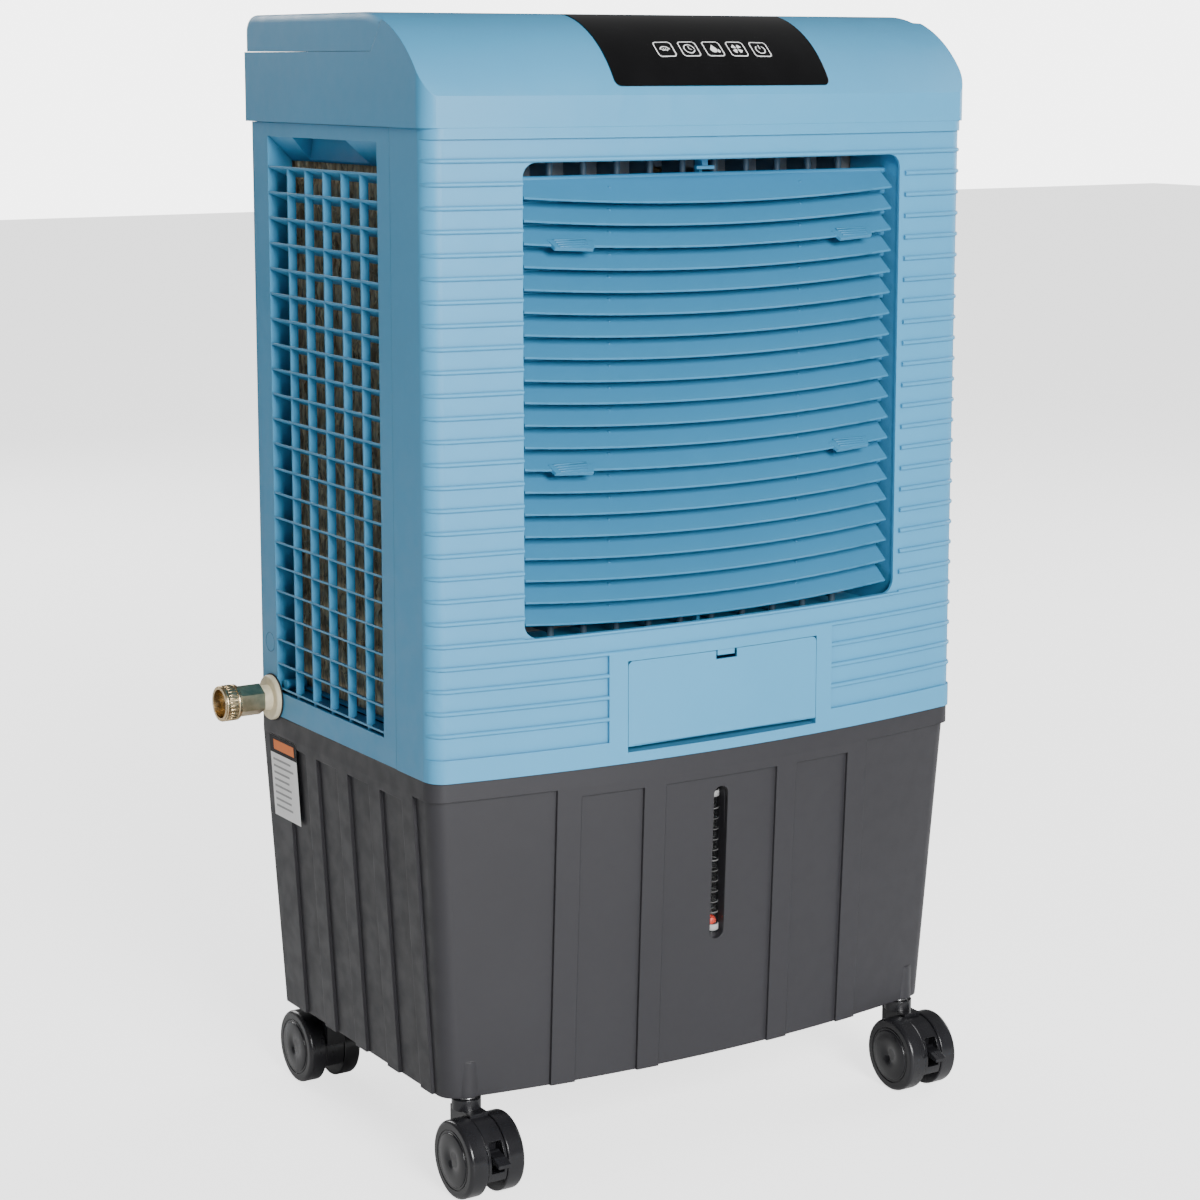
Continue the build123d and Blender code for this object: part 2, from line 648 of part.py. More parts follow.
def make_pads():
    low, high = LEDGE_Z + GAP, CAP_Z - 11
    outer = -BODY_HALF + GRILLE_DEPTH + GAP
    side = block(outer, outer + PAD_THICK, SIDE_SEAM_Y + 6, SIDE_BACK_Y - 5, low, high)
    edge = outer + PAD_THICK + 5
    back = block(edge, -edge, SIDE_BACK_Y - 5 - PAD_THICK, SIDE_BACK_Y - 5, low, high)
    return Part() + both_sides(side) + back


# Cap, lid and control panel ----------------------------------------------------------------


def cap_profile(grow=0.0):
    """Side profile of the cap on the middle plane: upright band, crease, slope and flat top."""
    front = FRONT_EDGE - BOW - PROUD
    run, rise = SLOPE_RUN, CAP_TOP_Z - CREASE_Z
    slope_end = front + run
    chord = math.hypot(run, rise)
    crown = (
        0,
        front + run / 2 - SLOPE_CROWN * rise / chord,
        CREASE_Z + rise / 2 + SLOPE_CROWN * run / chord,
    )
    face = make_face(
        [
            Line((0, front, CAP_Z), (0, front, CREASE_Z)),
            ThreePointArc((0, front, CREASE_Z), crown, (0, slope_end, CAP_TOP_Z)),
            Line((0, slope_end, CAP_TOP_Z), (0, HINGE_Y + 30, CAP_TOP_Z)),
            Line((0, HINGE_Y + 30, CAP_TOP_Z), (0, HINGE_Y + 30, CAP_Z)),
            Line((0, HINGE_Y + 30, CAP_Z), (0, front, CAP_Z)),
        ]
    )
    return offset(face, amount=grow, kind=Kind.INTERSECTION) if grow else face


def cap_sweep(grow=0.0):
    """The cap's profile swept round the front's arc."""
    arc_r = (BODY_HALF**2 + BOW**2) / (2 * BOW)
    centre_y = FRONT_EDGE - BOW + arc_r
    spread = 30.0
    turned = Pos(0, centre_y, 0) * Rot(0, 0, -spread / 2) * Pos(0, -centre_y, 0) * cap_profile(grow)
    return revolve(turned, axis=Axis((0, centre_y, 0), (0, 0, 1)), revolution_arc=spread)


def lid_space(margin):
    """The zone above the parting line that the lid takes up."""
    lean = (LID_NOSE - LID_FRONT) / (LID_TOP_Z - LID_DROP - LID_Z)
    above = LID_TOP_Z + 5
    points = [
        (LID_FRONT - margin, LID_Z - margin),
        (LID_FRONT - margin + lean * (above - LID_Z), above),
        (HINGE_Y + 20, above),
        (HINGE_Y + 20, LID_Z - margin),
    ]
    return prism_x(points, -BODY_HALF - 10, BODY_HALF + 10)


def lid_ears():
    """X ranges of the cap's hinge ears, two at each hinge."""
    return [(s * HINGE_X + a, s * HINGE_X + b) for s in (-1, 1) for a, b in ((-14, -10.5), (10.5, 14))]


def make_top_housing():
    plan = bowed_plan(CAP_HALF, FRONT_EDGE - PROUD, CAP_BACK)
    body = cap_sweep() & slab(plan, CAP_Z, LID_TOP_Z)
    body = body - lid_space(GAP)
    inner_plan = bowed_plan(CAP_HALF - WALL, FRONT_EDGE - PROUD + WALL, CAP_BACK - WALL)
    under_deck = slab(inner_plan, CAP_Z - 1, LID_Z - WALL)
    nose = cap_sweep(-WALL) & slab(inner_plan, CAP_Z, LID_TOP_Z)
    nose = nose - lid_space(GAP + WALL)
    shell = body - (under_deck & cap_sweep(-WALL)) - nose
    shell = shell - slab(inner_plan, CAP_Z - 1, CAP_Z + WALL + 1)
    # Ice and water tray sunk into the deck under the lid
    half, front, rear = TRAY_HALF, TRAY_FRONT_Y, TRAY_BACK_Y
    tray = block(
        -half - WALL, half + WALL, front - WALL, rear + WALL, TRAY_FLOOR_Z - WALL, LID_Z - GAP
    )
    shell = shell + tray - block(-half, half, front, rear, TRAY_FLOOR_Z, LID_Z + 1)
    middle = (front + rear) / 2
    drains = [rod_z(4, TRAY_FLOOR_Z - 5, TRAY_FLOOR_Z + 5, 60 * i, middle) for i in range(-2, 3)]
    shell = shell - drains
    # Hinge ears and pins at the rear
    for x0, x1 in lid_ears():
        shell = shell + rod_x(KNUCKLE_R, x0, x1, HINGE_Y, HINGE_Z)
        shell = shell + block(x0, x1, CAP_BACK - 1, HINGE_Y + KNUCKLE_R, LID_Z - 12, LID_Z - GAP)
        shell = shell + block(x0, x1, CAP_BACK + 0.4, HINGE_Y + KNUCKLE_R, LID_Z - GAP - 1, HINGE_Z)
    for x in (-HINGE_X, HINGE_X):
        shell = shell + rod_x(HINGE_PIN_R, x - 12, x + 12, HINGE_Y, HINGE_Z)
    return shell - control_zone(0.3, 1.7)


def control_zone(side, depth):
    """The curved touch panel's slice of the cap's slope, with a margin at its sides."""
    skin = cap_sweep(0.8) - cap_sweep(-depth)
    back = TOUCH_BACK_Y + side
    outline = window_y(TOUCH_HALF + side, TOUCH_LOW_Z - side, CAP_TOP_Z + 30, TOUCH_R, -200, back)
    return skin & outline & block(-CAP_HALF, CAP_HALF, -200, back, CREASE_Z, LID_TOP_Z)


def lid_solid(inset, low):
    """The lid's outer form, or its hollow when inset by the wall thickness."""
    side = CAP_HALF - inset
    top, back, radius = LID_TOP_Z - inset, CAP_BACK - inset, LID_ROUND - inset
    lean = [(LID_FRONT + inset, low), (LID_NOSE + inset, top - LID_DROP)]
    bend = radius * (1 - math.sqrt(0.5))
    run = LID_FLAT - LID_NOSE - inset
    arc_r = (run**2 + LID_DROP**2) / (2 * LID_DROP)
    half_angle = math.asin(run / arc_r) / 2
    crown = (LID_FLAT - arc_r * math.sin(half_angle), top - arc_r * (1 - math.cos(half_angle)))
    profile = make_face(
        [
            Line((-side, *lean[0]), (-side, *lean[1])),
            ThreePointArc((-side, *lean[1]), (-side, *crown), (-side, LID_FLAT, top)),
            Line((-side, LID_FLAT, top), (-side, back - radius, top)),
            ThreePointArc(
                (-side, back - radius, top),
                (-side, back - bend, top - bend),
                (-side, back, top - radius),
            ),
            Line((-side, back, top - radius), (-side, back, low)),
            Line((-side, back, low), (-side, *lean[0])),
        ]
    )
    solid = extrude(profile, amount=2 * side, dir=(1, 0, 0))
    ends = solid.edges().filter_by(lambda e: abs(abs(e.center().X) - side) < 0.1)
    long_ends = ends.filter_by(lambda e: e.center().Z > low + 20 and e.length > 50)
    return fillet(long_ends, LID_END_ROUND - inset)


def make_lid():
    lid = lid_solid(0, LID_Z) - lid_solid(WALL, LID_Z - 1)
    for x0, x1 in lid_ears():
        lid = lid - rod_x(KNUCKLE_R + 0.6, x0 - 0.6, x1 + 0.6, HINGE_Y, HINGE_Z)
    for x in (-HINGE_X, HINGE_X):
        knuckle = rod_x(KNUCKLE_R, x - 9.8, x + 9.8, HINGE_Y, HINGE_Z)
        lid = lid + knuckle + block(x - 9.8, x + 9.8, CAP_BACK - 1, HINGE_Y, HINGE_Z - 3, HINGE_Z + 4)
        lid = lid - rod_x(HINGE_PIN_R + RUNNING, x - 11, x + 11, HINGE_Y, HINGE_Z)
    return lid


# Air and water works -----------------------------------------------------------------------


def make_fan_shroud():
    plate_back = DUCT_BACK + 3
    side = DUCT_HALF + DUCT_WALL + 7
    plate = block(-side, side, DUCT_BACK + 0.3, plate_back, DUCT_LOW - 10, DUCT_HIGH + 8)
    shroud = plate + rod_y(FAN_RING_R + 3, DUCT_BACK + 0.3, RING_BACK, 0, FAN_Z)
    shroud = shroud - rod_y(FAN_RING_R, DUCT_BACK - 1, RING_BACK + 1, 0, FAN_Z)
    arms = []
    for angle in (45, 135):
        bar = Box(2 * FAN_RING_R + 4, 8, 10)
        arms.append(Pos(0, -24, FAN_Z) * Rot(0, angle, 0) * bar)
    hub = rod_y(MOTOR_R + 5, MOTOR_FRONT, MOTOR_FRONT + 20, 0, FAN_Z)
    return shroud + arms + hub - rod_y(MOTOR_R, MOTOR_FRONT - 1, 0, 0, FAN_Z)


def make_fan_motor():
    body = rod_y(MOTOR_R, MOTOR_FRONT, MOTOR_BACK, 0, FAN_Z)
    body = fillet(body.edges().group_by(Axis.Y)[-1], 8)
    return body - rod_y(FAN_SHAFT_R + RUNNING, MOTOR_FRONT - 1, MOTOR_FRONT + 40, 0, FAN_Z)


def make_fan():
    """Axial fan with twisted blades and its shaft, turning about Y."""
    hub = rod_y(FAN_HUB_R, BLADE_MID_Y - 18, BLADE_MID_Y + 18, 0, 0)
    root = Plane(origin=(36, 0, 0), x_dir=(0, 1, 0), z_dir=(1, 0, 0))
    tip = Plane(origin=(FAN_R, 0, 0), x_dir=(0, 1, 0), z_dir=(1, 0, 0))
    blade = loft(
        [root * Rot(0, 0, 52) * Rectangle(3.4, 46), tip * Rot(0, 0, 22) * Rectangle(2.4, 96)]
    )
    blade = blade & rod_y(FAN_R, -60, 60, 0, 0)
    step = 360 / FAN_BLADES
    blades = [Rot(0, step * i, 0) * Pos(0, BLADE_MID_Y, 0) * blade for i in range(FAN_BLADES)]
    shaft = rod_y(FAN_SHAFT_R, BLADE_MID_Y - 22, MOTOR_FRONT + 38, 0, 0)
    return Pos(0, 0, FAN_Z) * (hub + blades + shaft)


def make_pump():
    low = TANK_Z + TANK_FLOOR
    body = rod_z(PUMP_BASE_R, low, low + 8, PUMP_X, PUMP_Y)
    body = body + rod_z(PUMP_R, low, low + PUMP_TOP, PUMP_X, PUMP_Y)
    slots = [Pos(PUMP_X, PUMP_Y, low + 3) * Rot(0, 0, 30 * i) * Box(80, 4, 4) for i in range(6)]
    body = body - slots + rod_z(PUMP_R - 4, low, low + 8, PUMP_X, PUMP_Y)
    return body + rod_z(RISER_BORE_R, low + PUMP_TOP - 5, low + PUMP_NOSE, PUMP_X, PUMP_Y)


def gutter(inset, x0, x1, y0, y1):
    """A gutter's outer block, or the channel in it when inset by its wall."""
    low, high = CAP_Z - 10, CAP_Z - 1
    if inset:
        low, high = low + inset, high + 1
    return block(x0 + inset, x1 - inset, y0 + inset, y1 - inset, low, high)


def make_distributor():
    """Gutters over the three pads, with drip holes, and the riser from the pump."""
    low, high = CAP_Z - 10, CAP_Z - 1
    outer = BODY_HALF - GRILLE_DEPTH - 5.6
    back_y = SIDE_BACK_Y - 25
    front_end, back_end = SIDE_SEAM_Y + 14, back_y + GUTTER_WIDTH / 2
    gutters, channels = [], []
    for inset, parts in ((0, gutters), (GUTTER_WALL, channels)):
        parts += both_sides(gutter(inset, -outer, -outer + GUTTER_WIDTH, front_end, back_end))
        parts.append(gutter(inset, -outer, outer, back_y - GUTTER_WIDTH / 2, back_end))
    drips = []
    for i in range(5):
        drips += both_sides(rod_z(DRIP_R, low - 1, high, -outer + 15, -70 + DRIP_PITCH * i))
    for i in range(-4, 5):
        drips.append(rod_z(DRIP_R, low - 1, high, DRIP_PITCH * i, back_y))
    trough = Part() + gutters - channels - drips
    feed = block(PUMP_X - 9, PUMP_X + 9, PUMP_Y - 9, back_y - 14, low, high)
    riser_low = TANK_Z + TANK_FLOOR + 60
    riser = rod_z(RISER_R, riser_low, low + 2, PUMP_X, PUMP_Y)
    bore = rod_z(RISER_BORE_R + RUNNING, riser_low - 1, high - GUTTER_WALL, PUMP_X, PUMP_Y)
    floor, roof = low + GUTTER_WALL, high - GUTTER_WALL
    channel = block(PUMP_X - 5, PUMP_X + 5, PUMP_Y, back_y - 10, floor, roof)
    return trough + feed + riser - bore - channel


def inlet_x(outwards):
    """X of a point this far out from the left panel's face."""
    return -BODY_HALF - outwards


def make_inlet():
    y, z = INLET_Y, INLET_Z
    part = rod_x(FLANGE_R, inlet_x(5.5), inlet_x(0), y, z)
    part = fillet(part.edges().group_by(Axis.X)[0], 2)
    part = part + rod_x(12, inlet_x(14), inlet_x(4), y, z)
    hex_plane = Plane(origin=(inlet_x(37.5), y, z), x_dir=(0, 0, 1), z_dir=(1, 0, 0))
    part = part + extrude(hex_plane * RegularPolygon(HEX_R, 6), amount=23.5)
    part = part + rod_x(NECK_R, inlet_x(42), inlet_x(37), y, z)
    part = part + rod_x(11.5, inlet_x(44), inlet_x(41.4), y, z)
    part = part + rod_x(7.5, inlet_x(5), -BODY_HALF + 30, y, z)
    part = part + rod_x(8.7, -BODY_HALF + WALL, -BODY_HALF + 9, y, z)
    # Float valve body with the fork that carries the arm
    part = part + block(-254, -236, y - 9, y + 9, z - 12, z + 7)
    fork = block(-240, -228, y - 9, y + 9, z - 16, z - 2)
    fork = fork - block(-235.6, -227, y - 5, y + 5, z - 20, z)
    part = part + fork + rod_y(VALVE_PIN_R, y - 8, y + 8, VALVE_PIN_X, VALVE_PIN_Z)
    return part - rod_x(WATER_BORE_R, inlet_x(45), -BODY_HALF + 32, y, z)


def make_swivel():
    y, z = INLET_Y, INLET_Z
    nut = rod_x(SWIVEL_R, inlet_x(54), inlet_x(38), y, z)
    nut = nut - rod_x(SWIVEL_BORE_R, inlet_x(55), inlet_x(44.3), y, z)
    nut = nut - rod_x(12, inlet_x(45), inlet_x(41.1), y, z)
    return nut - rod_x(NECK_R + RUNNING, inlet_x(42), inlet_x(37), y, z)


def make_float_arm():
    """Float valve arm, hanging at its lowest, about a pin along Y."""
    eye = rod_y(3.6, -4.6, 4.6, 0, 0)
    arm = eye + block(2, ARM_REACH - 14, -2, 2, -2, 2)
    arm = arm + rod_y(ARM_FLOAT_R, -36, 8, ARM_REACH, 0)
    arm = arm - rod_y(VALVE_PIN_R + RUNNING, -6, 6, 0, 0)
    return Pos(VALVE_PIN_X, INLET_Y, VALVE_PIN_Z) * Rot(0, ARM_DROOP, 0) * arm


# Casters ------------------------------------------------------------------------------------


def make_hood(braked):
    """A caster's hood, axle, collar and stem, with the stem on the Z axis and wheels towards -Y."""
    hood = rod_x(WHEEL_R - 1.2, -HOOD_HALF, HOOD_HALF, -TRAIL, WHEEL_R)
    hood = hood - block(-20, 20, -TRAIL - 40, -TRAIL + 40, -1, 20)
    hood = hood + block(-HOOD_HALF, HOOD_HALF, -TRAIL, 12.5, 42, 70)
    hood = hood + rod_z(12.8, 69, TANK_Z - 2.5, 0, 0) + rod_z(STEM_R, 70, TANK_Z + 25, 0, 0)
    hood = hood + rod_x(AXLE_R, -WHEEL_OUT + 4, WHEEL_OUT - 4, -TRAIL, WHEEL_R)
    if braked:
        y = BRAKE_Y - TRAIL
        hood = hood - block(-6.4, 6.4, y - 20, y + 6, BRAKE_Z - 14, BRAKE_Z + 12)
        hood = hood + rod_x(BRAKE_PIN_R, -7.5, 7.5, y, BRAKE_Z)
    return hood


def make_wheels():
    """A caster's two wheels on their common axle line, about the X axis at the origin."""
    wheel = rod_x(WHEEL_R, WHEEL_IN, WHEEL_OUT, 0, 0)
    wheel = fillet(wheel.edges().group_by(Axis.X)[-1], 3.5)
    wheel = fillet(wheel.edges().group_by(Axis.X)[0], 1.2)
    ring = rod_x(26.2, WHEEL_OUT - 0.7, WHEEL_OUT + 1, 0, 0)
    ring = ring - rod_x(25.2, WHEEL_OUT - 1, WHEEL_OUT + 2, 0, 0)
    wheel = wheel - ring - rod_x(AXLE_R + RUNNING, WHEEL_IN - 1, WHEEL_OUT - 3.7, 0, 0)
    return Part() + both_sides(wheel)


def make_brake():
    """The brake pedal about its pin along X at the origin, reaching to -Y."""
    eye = rod_x(3.6, -BRAKE_HALF, BRAKE_HALF, 0, 0)
    points = [(-1, 2.6), (-12, 1.0), (-21, -3.0), (-21, -6.0), (-10, -4.2), (0, -3.2)]
    pedal = prism_x(points, -BRAKE_HALF, BRAKE_HALF)
    return eye + pedal - rod_x(BRAKE_PIN_R + RUNNING, -7, 7, 0, 0)


def write(name, shape):
    export_step(shape, f"parts/{name}.step")


def main():
    os.makedirs("parts", exist_ok=True)
    write("tank", make_tank())
    write("level_tube", make_level_tube())
    write("level_float", make_level_float())
    write("front_housing", make_front_housing())
    write("storage_door", make_storage_door())
    write("left_grille_panel", make_side_panel())
    write("right_grille_panel", make_right_panel())
    write("back_grille_panel", make_back_panel())
    write("evaporative_pads", make_pads())
    write("top_housing", make_top_housing())
    write("control_panel", control_zone(0, 1.4))
    write("top_lid", make_lid())
    write("fan_shroud", make_fan_shroud())
    write("fan_motor", make_fan_motor())
    write("fan_blades", make_fan())
    write("water_pump", make_pump())
    write("water_distributor", make_distributor())
    write("hose_inlet", make_inlet())
    write("hose_swivel", make_swivel())
    write("float_arm", make_float_arm())
    plain, gripped = make_vane(False), make_vane(True)
    for i, z in enumerate(vane_heights(), 1):
        vane = gripped if i in GRIP_VANES else plain
        write(f"louver_vane_{i:02d}", Pos(0, VANE_PIVOT_Y, z) * vane)
    deflector = make_deflector()
    for i, x in enumerate(deflector_places(), 1):
        write(f"air_deflector_{i:02d}", Pos(x, DEFLECTOR_Y, 0) * deflector)
    wheels = make_wheels()
    for name, x, y, side in stem_spots():
        turn = 0 if side < 0 else 180
        place = Pos(x, y, 0) * Rot(0, 0, turn)
        write(f"caster_{name}", place * make_hood(side < 0))
        write(f"wheels_{name}", place * Pos(0, -TRAIL, WHEEL_R) * wheels)
        if side < 0:
            write(f"brake_{name}", place * Pos(0, BRAKE_Y - TRAIL, BRAKE_Z) * make_brake())


main()
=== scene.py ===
import json
import math
import random

import bpy
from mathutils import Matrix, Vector, noise
from mathutils.bvhtree import BVHTree


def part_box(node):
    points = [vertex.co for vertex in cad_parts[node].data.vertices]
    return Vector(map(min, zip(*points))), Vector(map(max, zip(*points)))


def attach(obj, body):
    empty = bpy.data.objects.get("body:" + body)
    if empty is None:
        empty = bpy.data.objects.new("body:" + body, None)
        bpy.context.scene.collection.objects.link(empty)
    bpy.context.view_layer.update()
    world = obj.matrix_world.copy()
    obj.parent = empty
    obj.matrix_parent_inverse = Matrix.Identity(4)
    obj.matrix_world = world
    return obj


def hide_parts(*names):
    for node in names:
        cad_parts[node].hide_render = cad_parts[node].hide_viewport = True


# Looks of an evaporative cooler: bowed blue housing, charcoal tank, wood-fibre pads. Metres,
# +Z up, front towards -Y.

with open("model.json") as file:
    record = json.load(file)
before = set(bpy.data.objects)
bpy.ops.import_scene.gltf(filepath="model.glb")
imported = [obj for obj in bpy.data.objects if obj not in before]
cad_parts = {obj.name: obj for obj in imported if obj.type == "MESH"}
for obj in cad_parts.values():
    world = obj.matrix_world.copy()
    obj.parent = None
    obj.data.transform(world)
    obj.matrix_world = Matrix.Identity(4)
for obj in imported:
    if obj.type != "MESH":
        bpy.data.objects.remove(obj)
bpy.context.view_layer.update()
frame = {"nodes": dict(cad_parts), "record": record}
nodes = frame["nodes"]
random.seed(7)

X, Y, Z = Vector((1, 0, 0)), Vector((0, 1, 0)), Vector((0, 0, 1))
MM = 0.001
BODY = "cooler_body"

# Linear colours
BLUE = (0.070, 0.335, 0.580)
# The housing's blue made darker as painted shade for the louver vanes, which are the same
# plastic
SHADED_LOUVER_BLUE = (0.040, 0.220, 0.400)
SLATE = (0.045, 0.085, 0.120)
CHARCOAL = (0.024, 0.0235, 0.0275)
GREY = (0.24, 0.25, 0.26)
BLACK = (0.006, 0.006, 0.007)
STEEL = (0.55, 0.55, 0.56)
BRASS = (0.80, 0.62, 0.36)
CREAM = (0.78, 0.70, 0.49)
RED = (0.60, 0.045, 0.025)
WHITE = (0.92, 0.92, 0.92)
ORANGE = (0.78, 0.16, 0.015)
STRAW = (1.0, 0.80, 0.48)
BARK = (0.30, 0.17, 0.070)


# Camera and light --------------------------------------------------------------------------

CAMERA_AT = (-1.347, -2.116, 0.961)
CAMERA_HEADING = 32.29
CAMERA_TILT = -9.17
CAMERA_LENS = 82.6
CAMERA_SHIFT = -0.08
SENSOR_WIDTH = 36.0

AMBIENT = 0.14
BACKDROP = 5.0
# Name, place, aim, side length and power of each softbox
SOFTBOXES = (
    ("key", (-0.5, -3.8, 2.0), (0, 0, 0.62), 1.6, 270),
    ("fill", (-3.8, -0.9, 1.7), (0, 0, 0.5), 2.0, 4),
    ("right", (3.8, 0.4, 1.7), (0, 0, 0.55), 2.0, 90),
    ("back", (-0.4, 3.7, 2.0), (0, 0, 0.6), 2.0, 95),
)


def add_camera():
    """A long lens at the left front corner, with a small downward shift."""
    data = bpy.data.cameras.new("camera")
    data.lens = CAMERA_LENS
    data.sensor_width = SENSOR_WIDTH
    data.shift_y = CAMERA_SHIFT
    camera = bpy.data.objects.new("camera", data)
    camera.location = CAMERA_AT
    camera.rotation_euler = (math.radians(90 + CAMERA_TILT), 0, math.radians(-CAMERA_HEADING))
    bpy.context.scene.collection.objects.link(camera)
    bpy.context.scene.camera = camera


def add_softbox(name, at, aim, size, power):
    """A square area light that points at a place on the object."""
    data = bpy.data.lights.new(name, "AREA")
    data.size = size
    data.energy = power
    light = bpy.data.objects.new(name, data)
    light.location = at
    light.rotation_euler = (Vector(aim) - Vector(at)).to_track_quat("-Z", "Y").to_euler()
    bpy.context.scene.collection.objects.link(light)


def add_world(strength, backdrop):
    """Dim even light from all round, in front of a bright backdrop that lights nothing."""
    world = bpy.data.worlds.new("studio")
    world.use_nodes = True
    tree = world.node_tree
    background = tree.nodes["Background"]
    background.inputs["Color"].default_value = (1, 1, 1, 1)
    seen = tree.nodes.new("ShaderNodeLightPath").outputs["Is Camera Ray"]
    level = tree.nodes.new("ShaderNodeMapRange")
    level.inputs["To Min"].default_value = strength
    level.inputs["To Max"].default_value = backdrop
    tree.links.new(seen, level.inputs["Value"])
    tree.links.new(level.outputs["Result"], background.inputs["Strength"])
    bpy.context.scene.world = world


# Materials ----------------------------------------------------------------------------------


class Look:
    """A Principled material and the nodes that feed it. Textures use object coordinates."""

    def __init__(self, name):
        self.material = bpy.data.materials.new(name)
        self.material.use_nodes = True
        self.tree = self.material.node_tree
        self.shader = self.tree.nodes["Principled BSDF"]
        self.place = self.tree.nodes.new("ShaderNodeTexCoord").outputs["Object"]

    def node(self, kind, **inputs):
        """A new node with its inputs set or linked."""
        made = self.tree.nodes.new("ShaderNode" + kind)
        for key, value in inputs.items():
            self.feed(made.inputs[key.replace("_", " ")], value)
        return made

    def feed(self, socket, value):
        """Links another node's output to a socket, or sets the socket's value."""
        if isinstance(value, bpy.types.NodeSocket):
            self.tree.links.new(value, socket)
        elif isinstance(value, tuple) and len(value) == 3 and socket.type == "RGBA":
            socket.default_value = (*value, 1)
        else:
            socket.default_value = value

    def set(self, **inputs):
        """Inputs of the Principled shader, with underscores for spaces."""
        for key, value in inputs.items():
            self.feed(self.shader.inputs[key.replace("_", " ")], value)
        return self

    def noise(self, scale, detail=3.0, stretch=(1, 1, 1)):
        """A noise value; stretch below 1 draws it out along that axis."""
        mapped = self.node("Mapping", Vector=self.place, Scale=stretch)
        return self.node(
            "TexNoise", Vector=mapped.outputs["Vector"], Scale=scale, Detail=detail
        ).outputs["Fac"]

    def spread(self, value, low, high, start=0.35, end=0.65):
        """Stretches a 0 to 1 value to a range of roughness, height or weight."""
        ramp = self.node("MapRange", Value=value)
        limits = {"From Min": start, "From Max": end, "To Min": low, "To Max": high}
        for key, number in limits.items():
            ramp.inputs[key].default_value = number
        return ramp.outputs["Result"]

    def mix(self, weight, first, second):
        """A colour between two others."""
        made = self.tree.nodes.new("ShaderNodeMix")
        made.data_type = "RGBA"
        self.feed(made.inputs["Factor"], weight)
        self.feed(made.inputs[6], first)
        self.feed(made.inputs[7], second)
        return made.outputs[2]

    def bump(self, height, strength, distance, rounding=0.0):
        """Surface relief, over edges that look rounded by a radius."""
        made = self.node("Bump", Height=height, Strength=strength, Distance=distance)
        if rounding:
            soft = self.node("Bevel", Radius=rounding)
            soft.samples = 4
            self.tree.links.new(soft.outputs["Normal"], made.inputs["Normal"])
        self.tree.links.new(made.outputs["Normal"], self.shader.inputs["Normal"])
        return self


GRAIN_SCALE = 2200.0
GRAIN_STRENGTH = 0.12
GRAIN_DEPTH = 0.15 * MM
# How far the inlet's cream part stands out from the left panel's face
HUB_REACH = 14 * MM


def shade(colour, factor):
    """A colour made darker or lighter, up to white."""
    return tuple(min(1.0, c * factor) for c in colour)


def moulded(name, colour, roughness, patchy=0.10, rounding=0.6 * MM, crevice_shade=0.0):
    """Injection-moulded plastic: fine texture, faint flow patches, patchy roughness and rounded
    edges.
    """
    look = Look(name)
    patches = look.noise(5.0, 4.0)
    tone = look.mix(
        look.spread(patches, 0, 1), shade(colour, 1 - patchy), shade(colour, 1 + patchy)
    )
    # Painted shade: ambient occlusion darkens creases, recesses and the undersides of ribs
    # towards a darker copy of the colour.
    if crevice_shade:
        crevice_occlusion = look.node("AmbientOcclusion", Distance=0.012)
        crevice_occlusion.samples = 4
        tone = look.mix(
            look.spread(crevice_occlusion.outputs["AO"], crevice_shade, 0, 0.15, 0.8), tone, shade(colour, 0.42)
        )
    rub = look.noise(60.0, 5.0)
    look.set(Base_Color=tone, Roughness=look.spread(rub, roughness - 0.05, roughness + 0.07))
    grain = look.noise(GRAIN_SCALE, 2.0)
    return look.bump(grain, GRAIN_STRENGTH, GRAIN_DEPTH, rounding).material


def gloss(name, colour, roughness, coat=0.0, rounding=0.5 * MM):
    """Polished moulded plastic with faint smears and handling dust."""
    look = Look(name)
    smear = look.noise(35.0, 6.0, (1, 1, 0.3))
    tone = look.mix(look.spread(smear, 0, 1), colour, shade(colour, 1.5))
    rough = look.spread(smear, roughness, roughness + 0.1)
    look.set(Base_Color=tone, Roughness=rough, Coat_Weight=coat)
    return look.bump(look.noise(700.0), 0.03, 0.1 * MM, rounding).material


def metal(name, colour, roughness, lines=(1, 1, 1)):
    """Turned or plated metal: tool marks across, tarnish in patches."""
    look = Look(name)
    tarnish = look.noise(90.0, 5.0)
    tone = look.mix(look.spread(tarnish, 0, 1), shade(colour, 0.72), colour)
    marks = look.noise(1500.0, 2.0, lines)
    rough = look.spread(marks, roughness, roughness + 0.12)
    look.set(Base_Color=tone, Metallic=1.0, Roughness=rough)
    return look.bump(marks, 0.10, 0.1 * MM, 0.4 * MM).material


def clear_plastic():
    """Clear sight tube with a slight haze."""
    look = Look("clear_tube")
    look.set(Base_Color=(0.93, 0.95, 0.95), Transmission_Weight=1.0, IOR=1.2)
    haze = look.noise(150.0, 4.0)
    look.set(Roughness=look.spread(haze, 0.03, 0.12))
    return look.bump(haze, 0.05, 0.1 * MM).material


def inlet_material():
    """Cream valve flange and hub, with a brass hexagon and neck beyond them."""
    look = Look("cream_plastic")
    along = look.node("SeparateXYZ", Vector=look.place).outputs["X"]
    hub_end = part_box("left_grille_panel")[0][0] - HUB_REACH
    is_brass = look.spread(along, 1, 0, hub_end - 0.1 * MM, hub_end + 0.1 * MM)
    stain = look.noise(120.0, 5.0)
    cream = look.mix(look.spread(stain, 0, 1), shade(CREAM, 0.85), CREAM)
    brass = look.mix(look.spread(stain, 0, 1), shade(BRASS, 0.7), BRASS)
    look.set(
        Base_Color=look.mix(is_brass, cream, brass),
        Metallic=is_brass,
        Roughness=look.spread(is_brass, 0.5, 0.28, 0, 1),
    )
    return look.bump(look.noise(1300.0), 0.08, 0.1 * MM, 0.6 * MM).material


